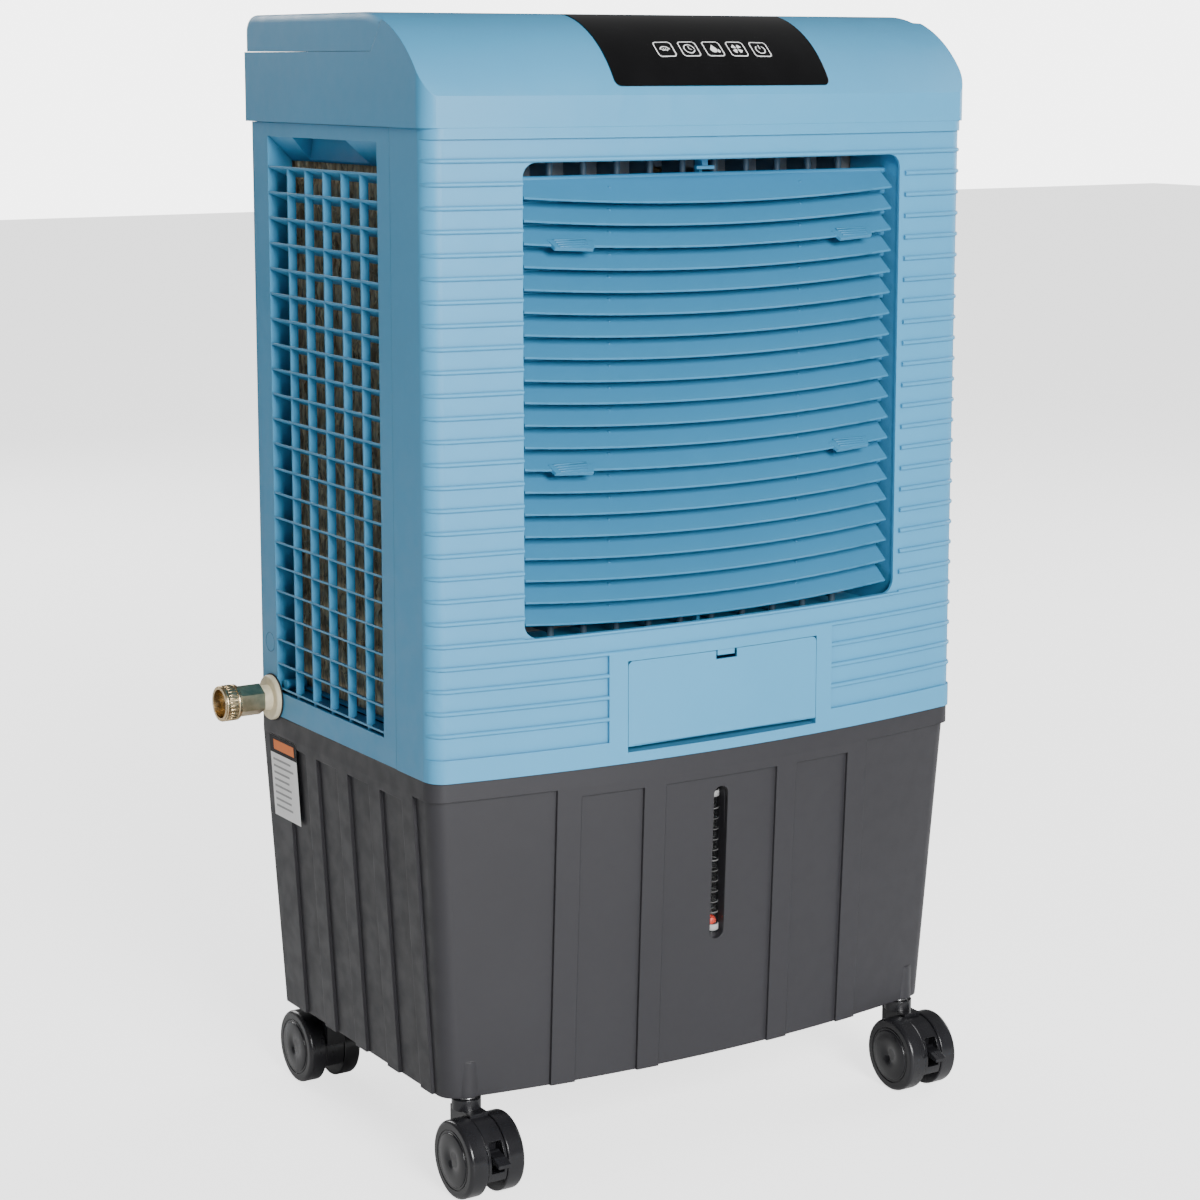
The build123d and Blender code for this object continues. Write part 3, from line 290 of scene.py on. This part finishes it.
def fibre_material():
    """Shredded aspen: long pale strands with darker bark, and patches darkened to half-bright
    straw as painted shade for the hollows between them.
    """
    look = Look("aspen_pad")
    strands = look.noise(260.0, 6.0, (1, 1, 0.16))
    hollow_shade = look.noise(38.0, 4.0)
    wood = look.mix(look.spread(strands, 0, 1, 0.38, 0.62), BARK, STRAW)
    # Painted shade: random patches darkened towards half-bright straw stand for the shade in
    # hollows.
    tone = look.mix(look.spread(hollow_shade, 0, 0.5), wood, shade(STRAW, 0.5))
    look.set(Base_Color=tone, Roughness=look.spread(strands, 0.75, 0.95), Sheen_Weight=0.15)
    return look.bump(strands, 0.8, 1.2 * MM).material


MATERIALS = {
    # The housing gets painted shade in its creases and under its ribs.
    "blue_housing": moulded("blue_housing", BLUE, 0.42, patchy=0.03, crevice_shade=0.75),
    # Painted shade: the vanes take a darker copy of the housing blue.
    "blue_louver": moulded("blue_louver", SHADED_LOUVER_BLUE, 0.38, patchy=0.03, rounding=0.8 * MM),
    "slate_blue_deflector": moulded("slate_blue_deflector", SLATE, 0.5),
    "charcoal_tank": moulded("charcoal_tank", CHARCOAL, 0.46, patchy=0.06, rounding=1.5 * MM),
    "clear_tube": clear_plastic(),
    "red_float": gloss("red_float", RED, 0.25),
    "gloss_black_panel": gloss("gloss_black_panel", shade(BLACK, 0.4), 0.04, coat=0.3),
    "aspen_pad": fibre_material(),
    "grey_plastic": moulded("grey_plastic", GREY, 0.5),
    "motor_steel": metal("motor_steel", shade(STEEL, 0.4), 0.4),
    "black_plastic": moulded("black_plastic", shade(BLACK, 3), 0.45),
    "cream_plastic": inlet_material(),
    "brass": metal("brass", BRASS, 0.24, (0.1, 1, 1)),
    "float_plastic": moulded("float_plastic", WHITE, 0.5),
    "caster_black": gloss("caster_black", shade(BLACK, 1.6), 0.2, rounding=0.9 * MM),
    "steel": metal("steel", STEEL, 0.25, (1, 1, 0.1)),
    "white_print": gloss("white_print", WHITE, 0.4),
    "orange_print": gloss("orange_print", ORANGE, 0.4),
    "grey_print": gloss("grey_print", shade(WHITE, 0.35), 0.5),
    "dark_print": gloss("dark_print", shade(WHITE, 0.12), 0.5),
    "gasket": moulded("gasket", shade(BLACK, 2), 0.7),
}


def dress_cad_nodes():
    """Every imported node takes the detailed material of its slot."""
    for entry in frame["record"]["subparts"]:
        thing = nodes[entry["node"]]
        for slot in thing.material_slots:
            slot.material = MATERIALS[entry["material_slot"]]


# Pieces -------------------------------------------------------------------------------------


def piece(name, points, faces, material, body, smooth=True):
    """A mesh object that rides on a body and takes a slot's finish."""
    mesh = bpy.data.meshes.new(name)
    mesh.from_pydata([tuple(p) for p in points], [], faces)
    mesh.validate()
    mesh.update()
    for polygon in mesh.polygons:
        polygon.use_smooth = smooth
    mesh.materials.append(MATERIALS[material])
    thing = bpy.data.objects.new(name, mesh)
    bpy.context.scene.collection.objects.link(thing)
    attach(thing, body)
    return thing


BAR_TOP = 0.82
BAR_SHOULDER = 0.97
SHOULDER_RISE = 0.6


class Build:
    """Points and faces gathered for one piece."""

    def __init__(self):
        self.points = []
        self.faces = []

    def add(self, points, faces):
        """Faces count from the first of the points given with them."""
        start = len(self.points)
        self.points += points
        self.faces += [tuple(i + start for i in face) for face in faces]

    def lathe(self, profile, origin, axis, around=32):
        """A closed (distance along, radius) outline turned about an axis."""
        side = axis.orthogonal().normalized()
        other = axis.cross(side)
        rings = len(profile)
        points = []
        for i in range(around):
            turn = 2 * math.pi * i / around
            spoke = side * math.cos(turn) + other * math.sin(turn)
            points += [origin + axis * along + spoke * radius for along, radius in profile]
        faces = []
        for i in range(around):
            here, there = i * rings, (i + 1) % around * rings
            for j in range(rings):
                k = (j + 1) % rings
                faces.append((here + j, there + j, there + k, here + k))
        self.add(points, faces)

    def bar(self, corners, normal, height):
        """A convex outline raised along a normal, with its top drawn in as a bevel."""
        count = len(corners)
        middle = sum(corners, Vector()) / count
        top = [middle + (c - middle) * BAR_TOP + normal * height for c in corners]
        lift = normal * height * SHOULDER_RISE
        shoulder = [middle + (c - middle) * BAR_SHOULDER + lift for c in corners]
        points = list(corners) + shoulder + top
        faces = [tuple(reversed(range(count))), tuple(range(2 * count, 3 * count))]
        for level in (0, count):
            for i in range(count):
                j = (i + 1) % count
                faces.append((level + i, level + j, level + count + j, level + count + i))
        self.add(points, faces)


def disc(radius, count=12):
    """Outline points of a small disc."""
    step = 2 * math.pi / count
    return [(radius * math.cos(step * i), radius * math.sin(step * i)) for i in range(count)]


# Evaporative pads -------------------------------------------------------------------------

PAD_CELL = 5.0 * MM
PAD_DEPTH = 40.0 * MM
PAD_HOLLOW = 6.0 * MM
PAD_GAP = 5 * MM
LUMP_SCALE = 55
CRUMB_SCALE = 150
CRUMB_SHARE = 0.6
STRANDS_PER_M2 = 11000
STRAND_STEPS = 7
STRAND_MARGIN = 4 * MM
STRAND_LEAN = 0.55
STRAND_BEND = 1.1
# Ranges in millimetres
STRAND_LENGTH = (18, 60)
STRAND_WIDTH = (0.5, 1.5)
STRAND_DEPTH = (0.4, 3.5)
STRAND_WAVE = (0.3, 1.3)


def pad_face(build, corner, across, up, inwards):
    """One pad: a lumpy outer face, a flat inner face and walls between them."""
    columns = round(across.length / PAD_CELL)
    rows = round(up.length / PAD_CELL)
    outer, inner = [], []
    for r in range(rows + 1):
        for c in range(columns + 1):
            spot = corner + across * (c / columns) + up * (r / rows)
            inside = min(r, rows - r, c, columns - c) > 0
            lump = noise.noise(spot * LUMP_SCALE) + CRUMB_SHARE * noise.noise(spot * CRUMB_SCALE)
            sink = PAD_HOLLOW * max(0.0, 0.5 + 0.5 * lump) if inside else PAD_HOLLOW * 0.5
            outer.append(spot + inwards * sink)
            inner.append(spot + inwards * PAD_DEPTH)
    wide = columns + 1
    count = wide * (rows + 1)
    faces = []
    for r in range(rows):
        for c in range(columns):
            a = r * wide + c
            faces.append((a, a + 1, a + wide + 1, a + wide))
            faces.append((count + a, count + a + wide, count + a + wide + 1, count + a + 1))
    rim = list(range(wide))
    rim += [r * wide + columns for r in range(1, rows + 1)]
    rim += [rows * wide + c for c in reversed(range(columns))]
    rim += [r * wide for r in reversed(range(1, rows))]
    for a, b in zip(rim, rim[1:] + rim[:1]):
        faces.append((b, a, count + a, count + b))
    build.add(outer + inner, faces)


def pad_strands(build, corner, across, up, inwards):
    """Loose curled ribbons of wood lying over the outer face, mostly upright."""
    area = across.length * up.length
    side, rise = across.normalized(), up.normalized()
    for _ in range(round(area * STRANDS_PER_M2)):
        length = random.uniform(*STRAND_LENGTH) * MM
        width = random.uniform(*STRAND_WIDTH) * MM
        lean = random.gauss(0, STRAND_LEAN)
        bend = random.uniform(-STRAND_BEND, STRAND_BEND)
        spot = corner + side * random.uniform(STRAND_MARGIN, across.length - STRAND_MARGIN)
        spot = spot + rise * random.uniform(STRAND_MARGIN, up.length - STRAND_MARGIN)
        depth = random.uniform(*STRAND_DEPTH) * MM
        wave = random.uniform(*STRAND_WAVE) * MM
        points = []
        for i in range(STRAND_STEPS + 1):
            t = i / STRAND_STEPS
            angle = lean + bend * (t - 0.5)
            step = length / STRAND_STEPS
            spot = spot + (rise * math.cos(angle) + side * math.sin(angle)) * step
            flat = side * math.cos(angle) - rise * math.sin(angle)
            sink = inwards * (depth + wave * math.sin(5 * t + lean))
            tilt = inwards * (0.4 * width * math.sin(7 * t + bend))
            points.append(spot + sink - flat * width / 2 - tilt)
            points.append(spot + sink + flat * width / 2 + tilt)
        inside = all(
            0 <= (p - corner).dot(side) <= across.length
            and 0 <= (p - corner).dot(rise) <= up.length
            for p in points
        )
        if inside:
            quads = [(2 * i, 2 * i + 1, 2 * i + 3, 2 * i + 2) for i in range(STRAND_STEPS)]
            build.add(points, quads)


def add_pads():
    """The two side pads and the rear one, in place of the plain CAD blocks."""
    low, high = (Vector(v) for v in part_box("evaporative_pads"))
    tall = Z * (high.z - low.z)
    deep = Y * (high.y - low.y)
    rear = high.x - low.x - 2 * (PAD_DEPTH + PAD_GAP)
    build = Build()
    pads = [
        (Vector((low.x, low.y, low.z)), deep, tall, X),
        (Vector((high.x, high.y, low.z)), -deep, tall, -X),
        (Vector((-rear / 2, high.y, low.z)), X * rear, tall, -Y),
    ]
    for corner, across, up, inwards in pads:
        pad_face(build, corner, across, up, inwards)
        pad_strands(build, corner, across, up, inwards)
    made = piece("fibre_pads", build.points, build.faces, "aspen_pad", BODY)
    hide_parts("evaporative_pads")


# Surface marks laid on a CAD face ------------------------------------------------------------


# Start of the ray that finds a decal's middle, and height of the rays that lay it down
STAND_OFF = 50 * MM
RAY_HEIGHT = 20 * MM


class Decal:
    """A drawing on a CAD node's surface, in metres across and up from its middle.

    It follows the surface, or stays in one plane when flat is set.
    """

    def __init__(self, node, start, aim, across=X, lift=0.25 * MM, flat=False):
        mesh = nodes[node].data
        self.tree = BVHTree.FromPolygons(
            [v.co.copy() for v in mesh.vertices], [tuple(p.vertices) for p in mesh.polygons]
        )
        spot, normal, _, _ = self.tree.ray_cast(Vector(start), Vector(aim))
        if normal.dot(Vector(aim)) > 0:
            normal = -normal
        self.middle, self.normal = spot, normal
        self.lift, self.flat = lift, flat
        self.across = (across - normal * across.dot(normal)).normalized()
        self.up = self.normal.cross(self.across)
        self.build = Build()

    def on_surface(self, a, b):
        """The place in space of an (across, up) point."""
        spot = self.middle + self.across * a + self.up * b
        if not self.flat:
            spot, _, _, _ = self.tree.ray_cast(spot + self.normal * RAY_HEIGHT, -self.normal)
        return spot + self.normal * self.lift

    def stroke(self, line, width, closed=False):
        """A line of even width through (across, up) points."""
        count = len(line)
        points, faces = [], []
        for i, (a, b) in enumerate(line):
            before = line[i - 1] if closed or i else line[i]
            after = line[(i + 1) % count] if closed or i < count - 1 else line[i]
            run = Vector((after[0] - before[0], after[1] - before[1])).normalized()
            for s in (-0.5, 0.5):
                points.append(self.on_surface(a - run.y * width * s, b + run.x * width * s))
        for i in range(count if closed else count - 1):
            j = (i + 1) % count
            faces.append((2 * i, 2 * j, 2 * j + 1, 2 * i + 1))
        self.build.add(points, faces)

    def fill(self, outline):
        """A filled shape."""
        points = [self.on_surface(a, b) for a, b in outline]
        self.build.add(points, [tuple(range(len(points)))])

    def patch(self, a0, a1, b0, b1):
        """A filled rectangle."""
        self.fill([(a0, b0), (a1, b0), (a1, b1), (a0, b1)])

    def finish(self, name, material, slot):
        """The drawing as a piece of the body."""
        points, faces = self.build.points, self.build.faces
        return piece(name, points, faces, material, BODY, smooth=False)


def rounded_square(half, radius, steps=5):
    """Outline points of a square with round corners, about its middle."""
    line = []
    for quarter in range(4):
        turn = math.pi / 2 * quarter
        cx = (half - radius) * (1 if quarter in (0, 3) else -1)
        cy = (half - radius) * (1 if quarter in (0, 1) else -1)
        for i in range(steps + 1):
            angle = turn + math.pi / 2 * i / steps
            line.append((cx + radius * math.cos(angle), cy + radius * math.sin(angle)))
    return line


def arc(cx, cy, radius, start, end, steps=14):
    """Points along an arc between two angles in degrees."""
    turns = [math.radians(start + (end - start) * i / steps) for i in range(steps + 1)]
    return [(cx + radius * math.cos(turn), cy + radius * math.sin(turn)) for turn in turns]


ICON_COUNT = 5
ICON_PITCH = 24.6 * MM
ICON_HALF = 8.6 * MM
ICON_CORNER = 3 * MM
ICON_LINE = 1.0 * MM
HAND_LINE = 0.8 * MM
RAY_LINE = 0.7 * MM
RAY_LEANS = (-0.6, -0.2, 0.2, 0.6)
GLYPH_R = 5 * MM
SMALL_DROP = 0.45
FAN_BLADES = 4
ICON_Z = 970 * MM


def add_icons():
    """Five touch icons on the control panel: swing, timer, cooling, fan and power."""
    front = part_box("control_panel")[0][1]
    decal = Decal("control_panel", (0, front - STAND_OFF, ICON_Z), Y)
    frame_line = rounded_square(ICON_HALF, ICON_CORNER)
    for i in range(ICON_COUNT):
        x = ICON_PITCH * (i - ICON_COUNT // 2)
        decal.stroke([(x + a, b) for a, b in frame_line], ICON_LINE, closed=True)
    # Swing: an arc over four rays
    swing = -2 * ICON_PITCH
    decal.stroke([(swing + a, b - 2 * MM) for a, b in arc(0, 0, GLYPH_R, 20, 160, 8)], ICON_LINE)
    for lean in RAY_LEANS:
        foot = (swing + 3 * MM * math.sin(lean), -3.5 * MM + 1.5 * MM * math.cos(lean))
        head = (swing + 6 * MM * math.sin(lean), -4 * MM + 5 * MM * math.cos(lean))
        decal.stroke([foot, head], RAY_LINE)
    # Timer: a ring with two hands
    clock = -ICON_PITCH
    decal.stroke(arc(clock, 0, GLYPH_R, 0, 345, 18), ICON_LINE)
    decal.stroke([(clock, 3 * MM), (clock, 0), (clock + 2.4 * MM, -1.2 * MM)], HAND_LINE)
    # Cooling: a large drop and a small one
    drop = [(0, GLYPH_R)] + arc(0, -1.2 * MM, 3.4 * MM, 150, 390, 14)
    decal.fill(drop)
    decal.fill([(a * SMALL_DROP + 4.6 * MM, b * SMALL_DROP - 2.6 * MM) for a, b in drop])
    # Fan: four blades
    for blade in range(FAN_BLADES):
        turn = 90 * blade + 20
        inner = arc(ICON_PITCH, 0, 1.2 * MM, turn + 50, turn, 2)
        outer = arc(ICON_PITCH, 0, 5.4 * MM, turn, turn + 52, 5)
        decal.fill(inner + outer)
    # Power: an open ring with a stroke in its gap
    power = 2 * ICON_PITCH
    decal.stroke(arc(power, -0.4 * MM, 4.6 * MM, 125, 415, 16), ICON_LINE)
    decal.stroke([(power, 0.4 * MM), (power, 5.2 * MM)], ICON_LINE)
    decal.finish("touch_icons", "white_print", "gloss_black_panel")


LABEL_HALF_WIDTH = 27 * MM
LABEL_HALF_HEIGHT = 39 * MM
LABEL_Y = 122 * MM
LABEL_SEAT_Y = 140 * MM
LABEL_Z = 306 * MM
LABEL_HEADER = 17 * MM
# How far the sheet, header, block and lines stand off the tank
LABEL_LIFTS = (0.3 * MM, 0.45 * MM, 0.6 * MM, 0.5 * MM)
# Sides as shares of the half width, levels as shares of the header down from the top
BLOCK_LEFT, BLOCK_RIGHT = 0.7, 0.85
BLOCK_LOW, BLOCK_HIGH = 0.78, 0.22
LINE_LEFT = 0.82
LINE_RIGHT = (0.3, 0.85)
LINE_DROP = 6 * MM
LINE_PITCH = 6.4 * MM
LINE_HALF = 1.0 * MM
LINE_MARGIN = 4 * MM


def add_label():
    """A plain label without lettering, across the last flute of the tank's left side."""
    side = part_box("tank")[0][0]
    start = (side - STAND_OFF, LABEL_SEAT_Y, LABEL_Z)
    layers = [Decal("tank", start, X, -Y, lift, flat=True) for lift in LABEL_LIFTS]
    for layer in layers:
        layer.middle = layer.middle + layer.across * (LABEL_SEAT_Y - LABEL_Y)
    sheet, header, block, lines = layers
    half, top, deep = LABEL_HALF_WIDTH, LABEL_HALF_HEIGHT, LABEL_HEADER
    sheet.patch(-half, half, -top, top)
    header.patch(-half, half, top - deep, top)
    low, high = top - deep * BLOCK_LOW, top - deep * BLOCK_HIGH
    block.patch(-half * BLOCK_LEFT, half * BLOCK_RIGHT, low, high)
    line = top - deep - LINE_DROP
    while line > -top + LINE_MARGIN:
        end = half * random.uniform(*LINE_RIGHT)
        lines.patch(-half * LINE_LEFT, end, line - LINE_HALF, line + LINE_HALF)
        line -= LINE_PITCH
    sheet.finish("label_sheet", "white_print", "float_plastic")
    header.finish("label_header", "gasket", "black_plastic")
    block.finish("label_block", "orange_print", "red_float")
    lines.finish("label_lines", "grey_print", "black_plastic")


# Level gauge --------------------------------------------------------------------------------

GAUGE_TICKS = 11
LONG_TICK = 5
# The scale's start and length as shares of the tube's length
SCALE_START = 0.14
SCALE_LENGTH = 0.72
TUBE_R = 6.5 * MM
TICK_HALF = 0.35 * MM
TICK_LIFT = 0.2 * MM
CLIP_R = 7.2 * MM
CLIP_HALF = 3 * MM
CLIP_CREST = 2.6 * MM
CLIP_INSET = 5 * MM


def add_gauge():
    """Printed rings on the sight tube, and a clip at each of its ends."""
    low, high = (Vector(v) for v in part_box("level_tube"))
    middle = (low + high) / 2
    rings, clips = Build(), Build()
    span = high.z - low.z
    outer = TUBE_R + TICK_LIFT
    for i in range(GAUGE_TICKS):
        z = low.z + span * (SCALE_START + SCALE_LENGTH * i / (GAUGE_TICKS - 1))
        tall = TICK_HALF * (2 if i % LONG_TICK == 0 else 1)
        outline = [(-tall, TUBE_R), (-tall, outer), (tall, outer), (tall, TUBE_R)]
        rings.lathe(outline, Vector((middle.x, middle.y, z)), Z)
    foot, crest = CLIP_HALF, CLIP_CREST
    outline = [(-foot, TUBE_R), (-crest, CLIP_R), (crest, CLIP_R), (foot, TUBE_R)]
    for z in (low.z + CLIP_INSET, high.z - CLIP_INSET):
        clips.lathe(outline, Vector((middle.x, middle.y, z)), Z)
    piece("gauge_rings", rings.points, rings.faces, "dark_print", BODY)
    piece("gauge_clips", clips.points, clips.faces, "grey_print", BODY)


# Louver details -------------------------------------------------------------------------------

GRIPPED = ("louver_vane_03", "louver_vane_13")
GRIP_X = 146 * MM
VANE_TILT = 38.0
VANE_HALF_THICK = 1.3 * MM
PIVOT_INSET = 2.6 * MM
PIN_SPOTS = (-103 * MM, 95 * MM)
PIN_FORWARD = 14 * MM
PIN_HEAD_R = 1.4 * MM
PIN_HEAD_RISE = 0.7 * MM
GRIP_RISE = 0.7 * MM
RIDGES = 4
RIDGE_START = 22 * MM
RIDGE_PITCH = 2.7 * MM
RIDGE_HALF = 16.5 * MM
RIDGE_TAPER = 0.8 * MM
RIDGE_HALF_WIDTH = 0.6 * MM
RIDGE_RISE = 0.8 * MM


def add_vane_details():
    """Link-pin heads on every vane, and ridged thumb grips on two of them."""
    tilt = math.radians(VANE_TILT)
    forward = Vector((0, -math.cos(tilt), -math.sin(tilt)))
    face = Vector((0, -math.sin(tilt), math.cos(tilt)))
    for name in sorted(n for n in nodes if n.startswith("louver_vane")):
        high = Vector(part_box(name)[1])
        pivot = Vector((0, high.y - PIVOT_INSET, high.z - PIVOT_INSET))
        build = Build()
        for x in PIN_SPOTS:
            spot = pivot + X * x + forward * PIN_FORWARD + face * VANE_HALF_THICK
            head = [spot + X * a + forward * b for a, b in disc(PIN_HEAD_R)]
            build.bar(head, face, PIN_HEAD_RISE)
        grips = (-GRIP_X, GRIP_X) if name in GRIPPED else ()
        for x in grips:
            for i in range(RIDGES):
                ahead = forward * (RIDGE_START + RIDGE_PITCH * i)
                spot = pivot + X * x + ahead + face * (VANE_HALF_THICK + GRIP_RISE)
                half, wide = RIDGE_HALF - i * RIDGE_TAPER, RIDGE_HALF_WIDTH
                line = [(-half, -wide), (half, -wide), (half, wide), (-half, wide)]
                build.bar([spot + X * a + forward * b for a, b in line], face, RIDGE_RISE)
        piece(name + "_marks", build.points, build.faces, "blue_louver", name)


# Fasteners and fittings -----------------------------------------------------------------------

SCREW_R = 4.0 * MM
# Corners of one raised quarter, in millimetres
QUARTER = ((0.5, 0.5), (2.4, 0.5), (1.8, 1.8), (0.5, 2.4))
QUARTER_SEAT = 1.6 * MM
QUARTER_RISE = 0.35 * MM
SCREW_SEAT = 6 * MM
SCREW_SIDE_X = 246 * MM
SCREW_SIDE_Z = (480 * MM, 640 * MM, 800 * MM)
SCREW_TOP_X = (-160 * MM, 0, 160 * MM)
SCREW_TOP_Z = 878 * MM
# Turned outlines stop just short of their axis
AXIS_R = 0.05 * MM


def screw(build, at, normal):
    """A pan-head screw: a domed disc whose cross slot is left by four raised quarters."""
    outline = [
        (0, AXIS_R),
        (0, SCREW_R),
        (0.8 * MM, SCREW_R),
        (1.5 * MM, SCREW_R * 0.8),
        (1.7 * MM, AXIS_R),
    ]
    build.lathe(outline, at, normal, 24)
    side = normal.orthogonal().normalized()
    other = normal.cross(side)
    for i in range(4):
        turn = math.pi / 2 * i
        a = side * math.cos(turn) + other * math.sin(turn)
        b = normal.cross(a)
        quarter = [at + normal * QUARTER_SEAT + (a * u + b * v) * MM for u, v in QUARTER]
        build.bar(quarter, normal, QUARTER_RISE)


def add_screws():
    """Screws round the back panel's margin."""
    build = Build()
    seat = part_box("top_housing")[1][1] - SCREW_SEAT
    for x in (-SCREW_SIDE_X, SCREW_SIDE_X):
        for z in SCREW_SIDE_Z:
            screw(build, Vector((x, seat, z)), Y)
    for x in SCREW_TOP_X:
        screw(build, Vector((x, seat, SCREW_TOP_Z)), Y)
    piece("back_screws", build.points, build.faces, "steel", BODY)


SEAL_IN = 20 * MM
SEAL_OUT = 21.8 * MM
SEAL_THICK = 1.2 * MM
SEAL_STAND = 1.3 * MM
RIM_INSET = 2.2 * MM
LUGS = 28
LUG_INSET = 4 * MM
LUG_HALF = 0.9 * MM
LUG_RISE = 0.6 * MM


def add_inlet_trim():
    """Gasket behind the inlet's flange and grip lugs round the brass swivel."""
    low, high = (Vector(v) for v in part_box("hose_swivel"))
    middle = (low + high) / 2
    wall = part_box("left_grille_panel")[0][0]
    radius = (high.z - low.z) / 2
    seal = Build()
    outline = [(0, SEAL_IN), (0, SEAL_OUT), (SEAL_THICK, SEAL_OUT), (SEAL_THICK, SEAL_IN)]
    seal.lathe(outline, Vector((wall - SEAL_STAND, middle.y, middle.z)), X, 48)
    piece("inlet_gasket", seal.points, seal.faces, "gasket", BODY)
    trim = Build()
    foot, crest = radius - 0.3 * MM, radius + 0.5 * MM
    outline = [(-1.6 * MM, foot), (-1.0 * MM, crest), (1.0 * MM, crest), (1.6 * MM, foot)]
    for along in (RIM_INSET, high.x - low.x - RIM_INSET):
        trim.lathe(outline, Vector((low.x + along, middle.y, middle.z)), X, 48)
    start, end = low.x + LUG_INSET, high.x - LUG_INSET
    corners = [(start, -LUG_HALF), (end, -LUG_HALF), (end, LUG_HALF), (start, LUG_HALF)]
    for i in range(LUGS):
        turn = 2 * math.pi * i / LUGS
        out = Y * math.cos(turn) + Z * math.sin(turn)
        side = X.cross(out)
        at = Vector((0, middle.y, middle.z)) + out * (radius - 0.1 * MM)
        trim.bar([at + X * a + side * b for a, b in corners], out, LUG_RISE)
    piece("swivel_grip", trim.points, trim.faces, "brass", "hose_swivel")


# Hub cap outline: distance out from the wheel's face, radius
HUBCAP = (
    (-0.5 * MM, 23.4 * MM),
    (0.5 * MM, 23.4 * MM),
    (1.0 * MM, 22.6 * MM),
    (0.6 * MM, 14.0 * MM),
    (0.9 * MM, AXIS_R),
    (-0.5 * MM, AXIS_R),
)
WASHER_IN = 5.2 * MM
WASHER_OUT = 9.5 * MM
WASHER_THICK = 1.6 * MM
WASHER_DROP = 2.4 * MM


def stem_spot(corner):
    """Where a caster's stem leaves its collar, from the swivel joint."""
    joints = frame["record"]["behaviour"]["joints"]
    joint = next(j for j in joints if j["name"] == "swivel_" + corner)
    x, y, _ = joint["pos_m"]
    return Vector((x, y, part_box("tank")[0][2] - WASHER_DROP))


def add_caster_trim():
    """Stepped hub caps on the wheels and a steel washer round each stem."""
    washer = [
        (0, WASHER_IN),
        (0, WASHER_OUT),
        (WASHER_THICK, WASHER_OUT),
        (WASHER_THICK, WASHER_IN),
    ]
    for corner in ("front_left", "front_right", "rear_left", "rear_right"):
        wheels, caster = "wheels_" + corner, "caster_" + corner
        low, high = (Vector(v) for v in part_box("wheels_" + corner))
        middle = (low + high) / 2
        cap, ring = Build(), Build()
        for side, start in ((-X, low.x), (X, high.x)):
            cap.lathe(HUBCAP, Vector((start, middle.y, middle.z)), side, 64)
        piece("hubcaps_" + corner, cap.points, cap.faces, "caster_black", wheels)
        ring.lathe(washer, stem_spot(corner), Z, 40)
        piece("stem_washer_" + corner, ring.points, ring.faces, "steel", caster)


# Floor and assembly --------------------------------------------------------------------------

FLOOR_HALF = 14.0
FLOOR_TONE = (0.80, 0.80, 0.80)
FLOOR_GLOW = 2.0


def add_floor():
    """A pale floor that is brightened for the eye only, so that it lights nothing extra."""
    mesh = bpy.data.meshes.new("floor")
    half = FLOOR_HALF
    corners = [(-half, -half, 0), (half, -half, 0), (half, half, 0), (-half, half, 0)]
    mesh.from_pydata(corners, [], [(0, 1, 2, 3)])
    look = Look("floor")
    look.set(Base_Color=FLOOR_TONE, Roughness=look.spread(look.noise(3.0), 0.6, 0.7))
    seen = look.node("LightPath").outputs["Is Camera Ray"]
    glow = look.spread(seen, 0, FLOOR_GLOW, 0, 1)
    look.set(Emission_Color=(1.0, 1.0, 1.0), Emission_Strength=glow)
    mesh.materials.append(look.material)
    floor = bpy.data.objects.new("floor", mesh)
    bpy.context.scene.collection.objects.link(floor)


add_camera()
add_world(AMBIENT, BACKDROP)
for softbox in SOFTBOXES:
    add_softbox(*softbox)
add_floor()
dress_cad_nodes()
add_pads()
add_icons()
add_label()
add_gauge()
add_vane_details()
add_screws()
add_inlet_trim()
add_caster_trim()
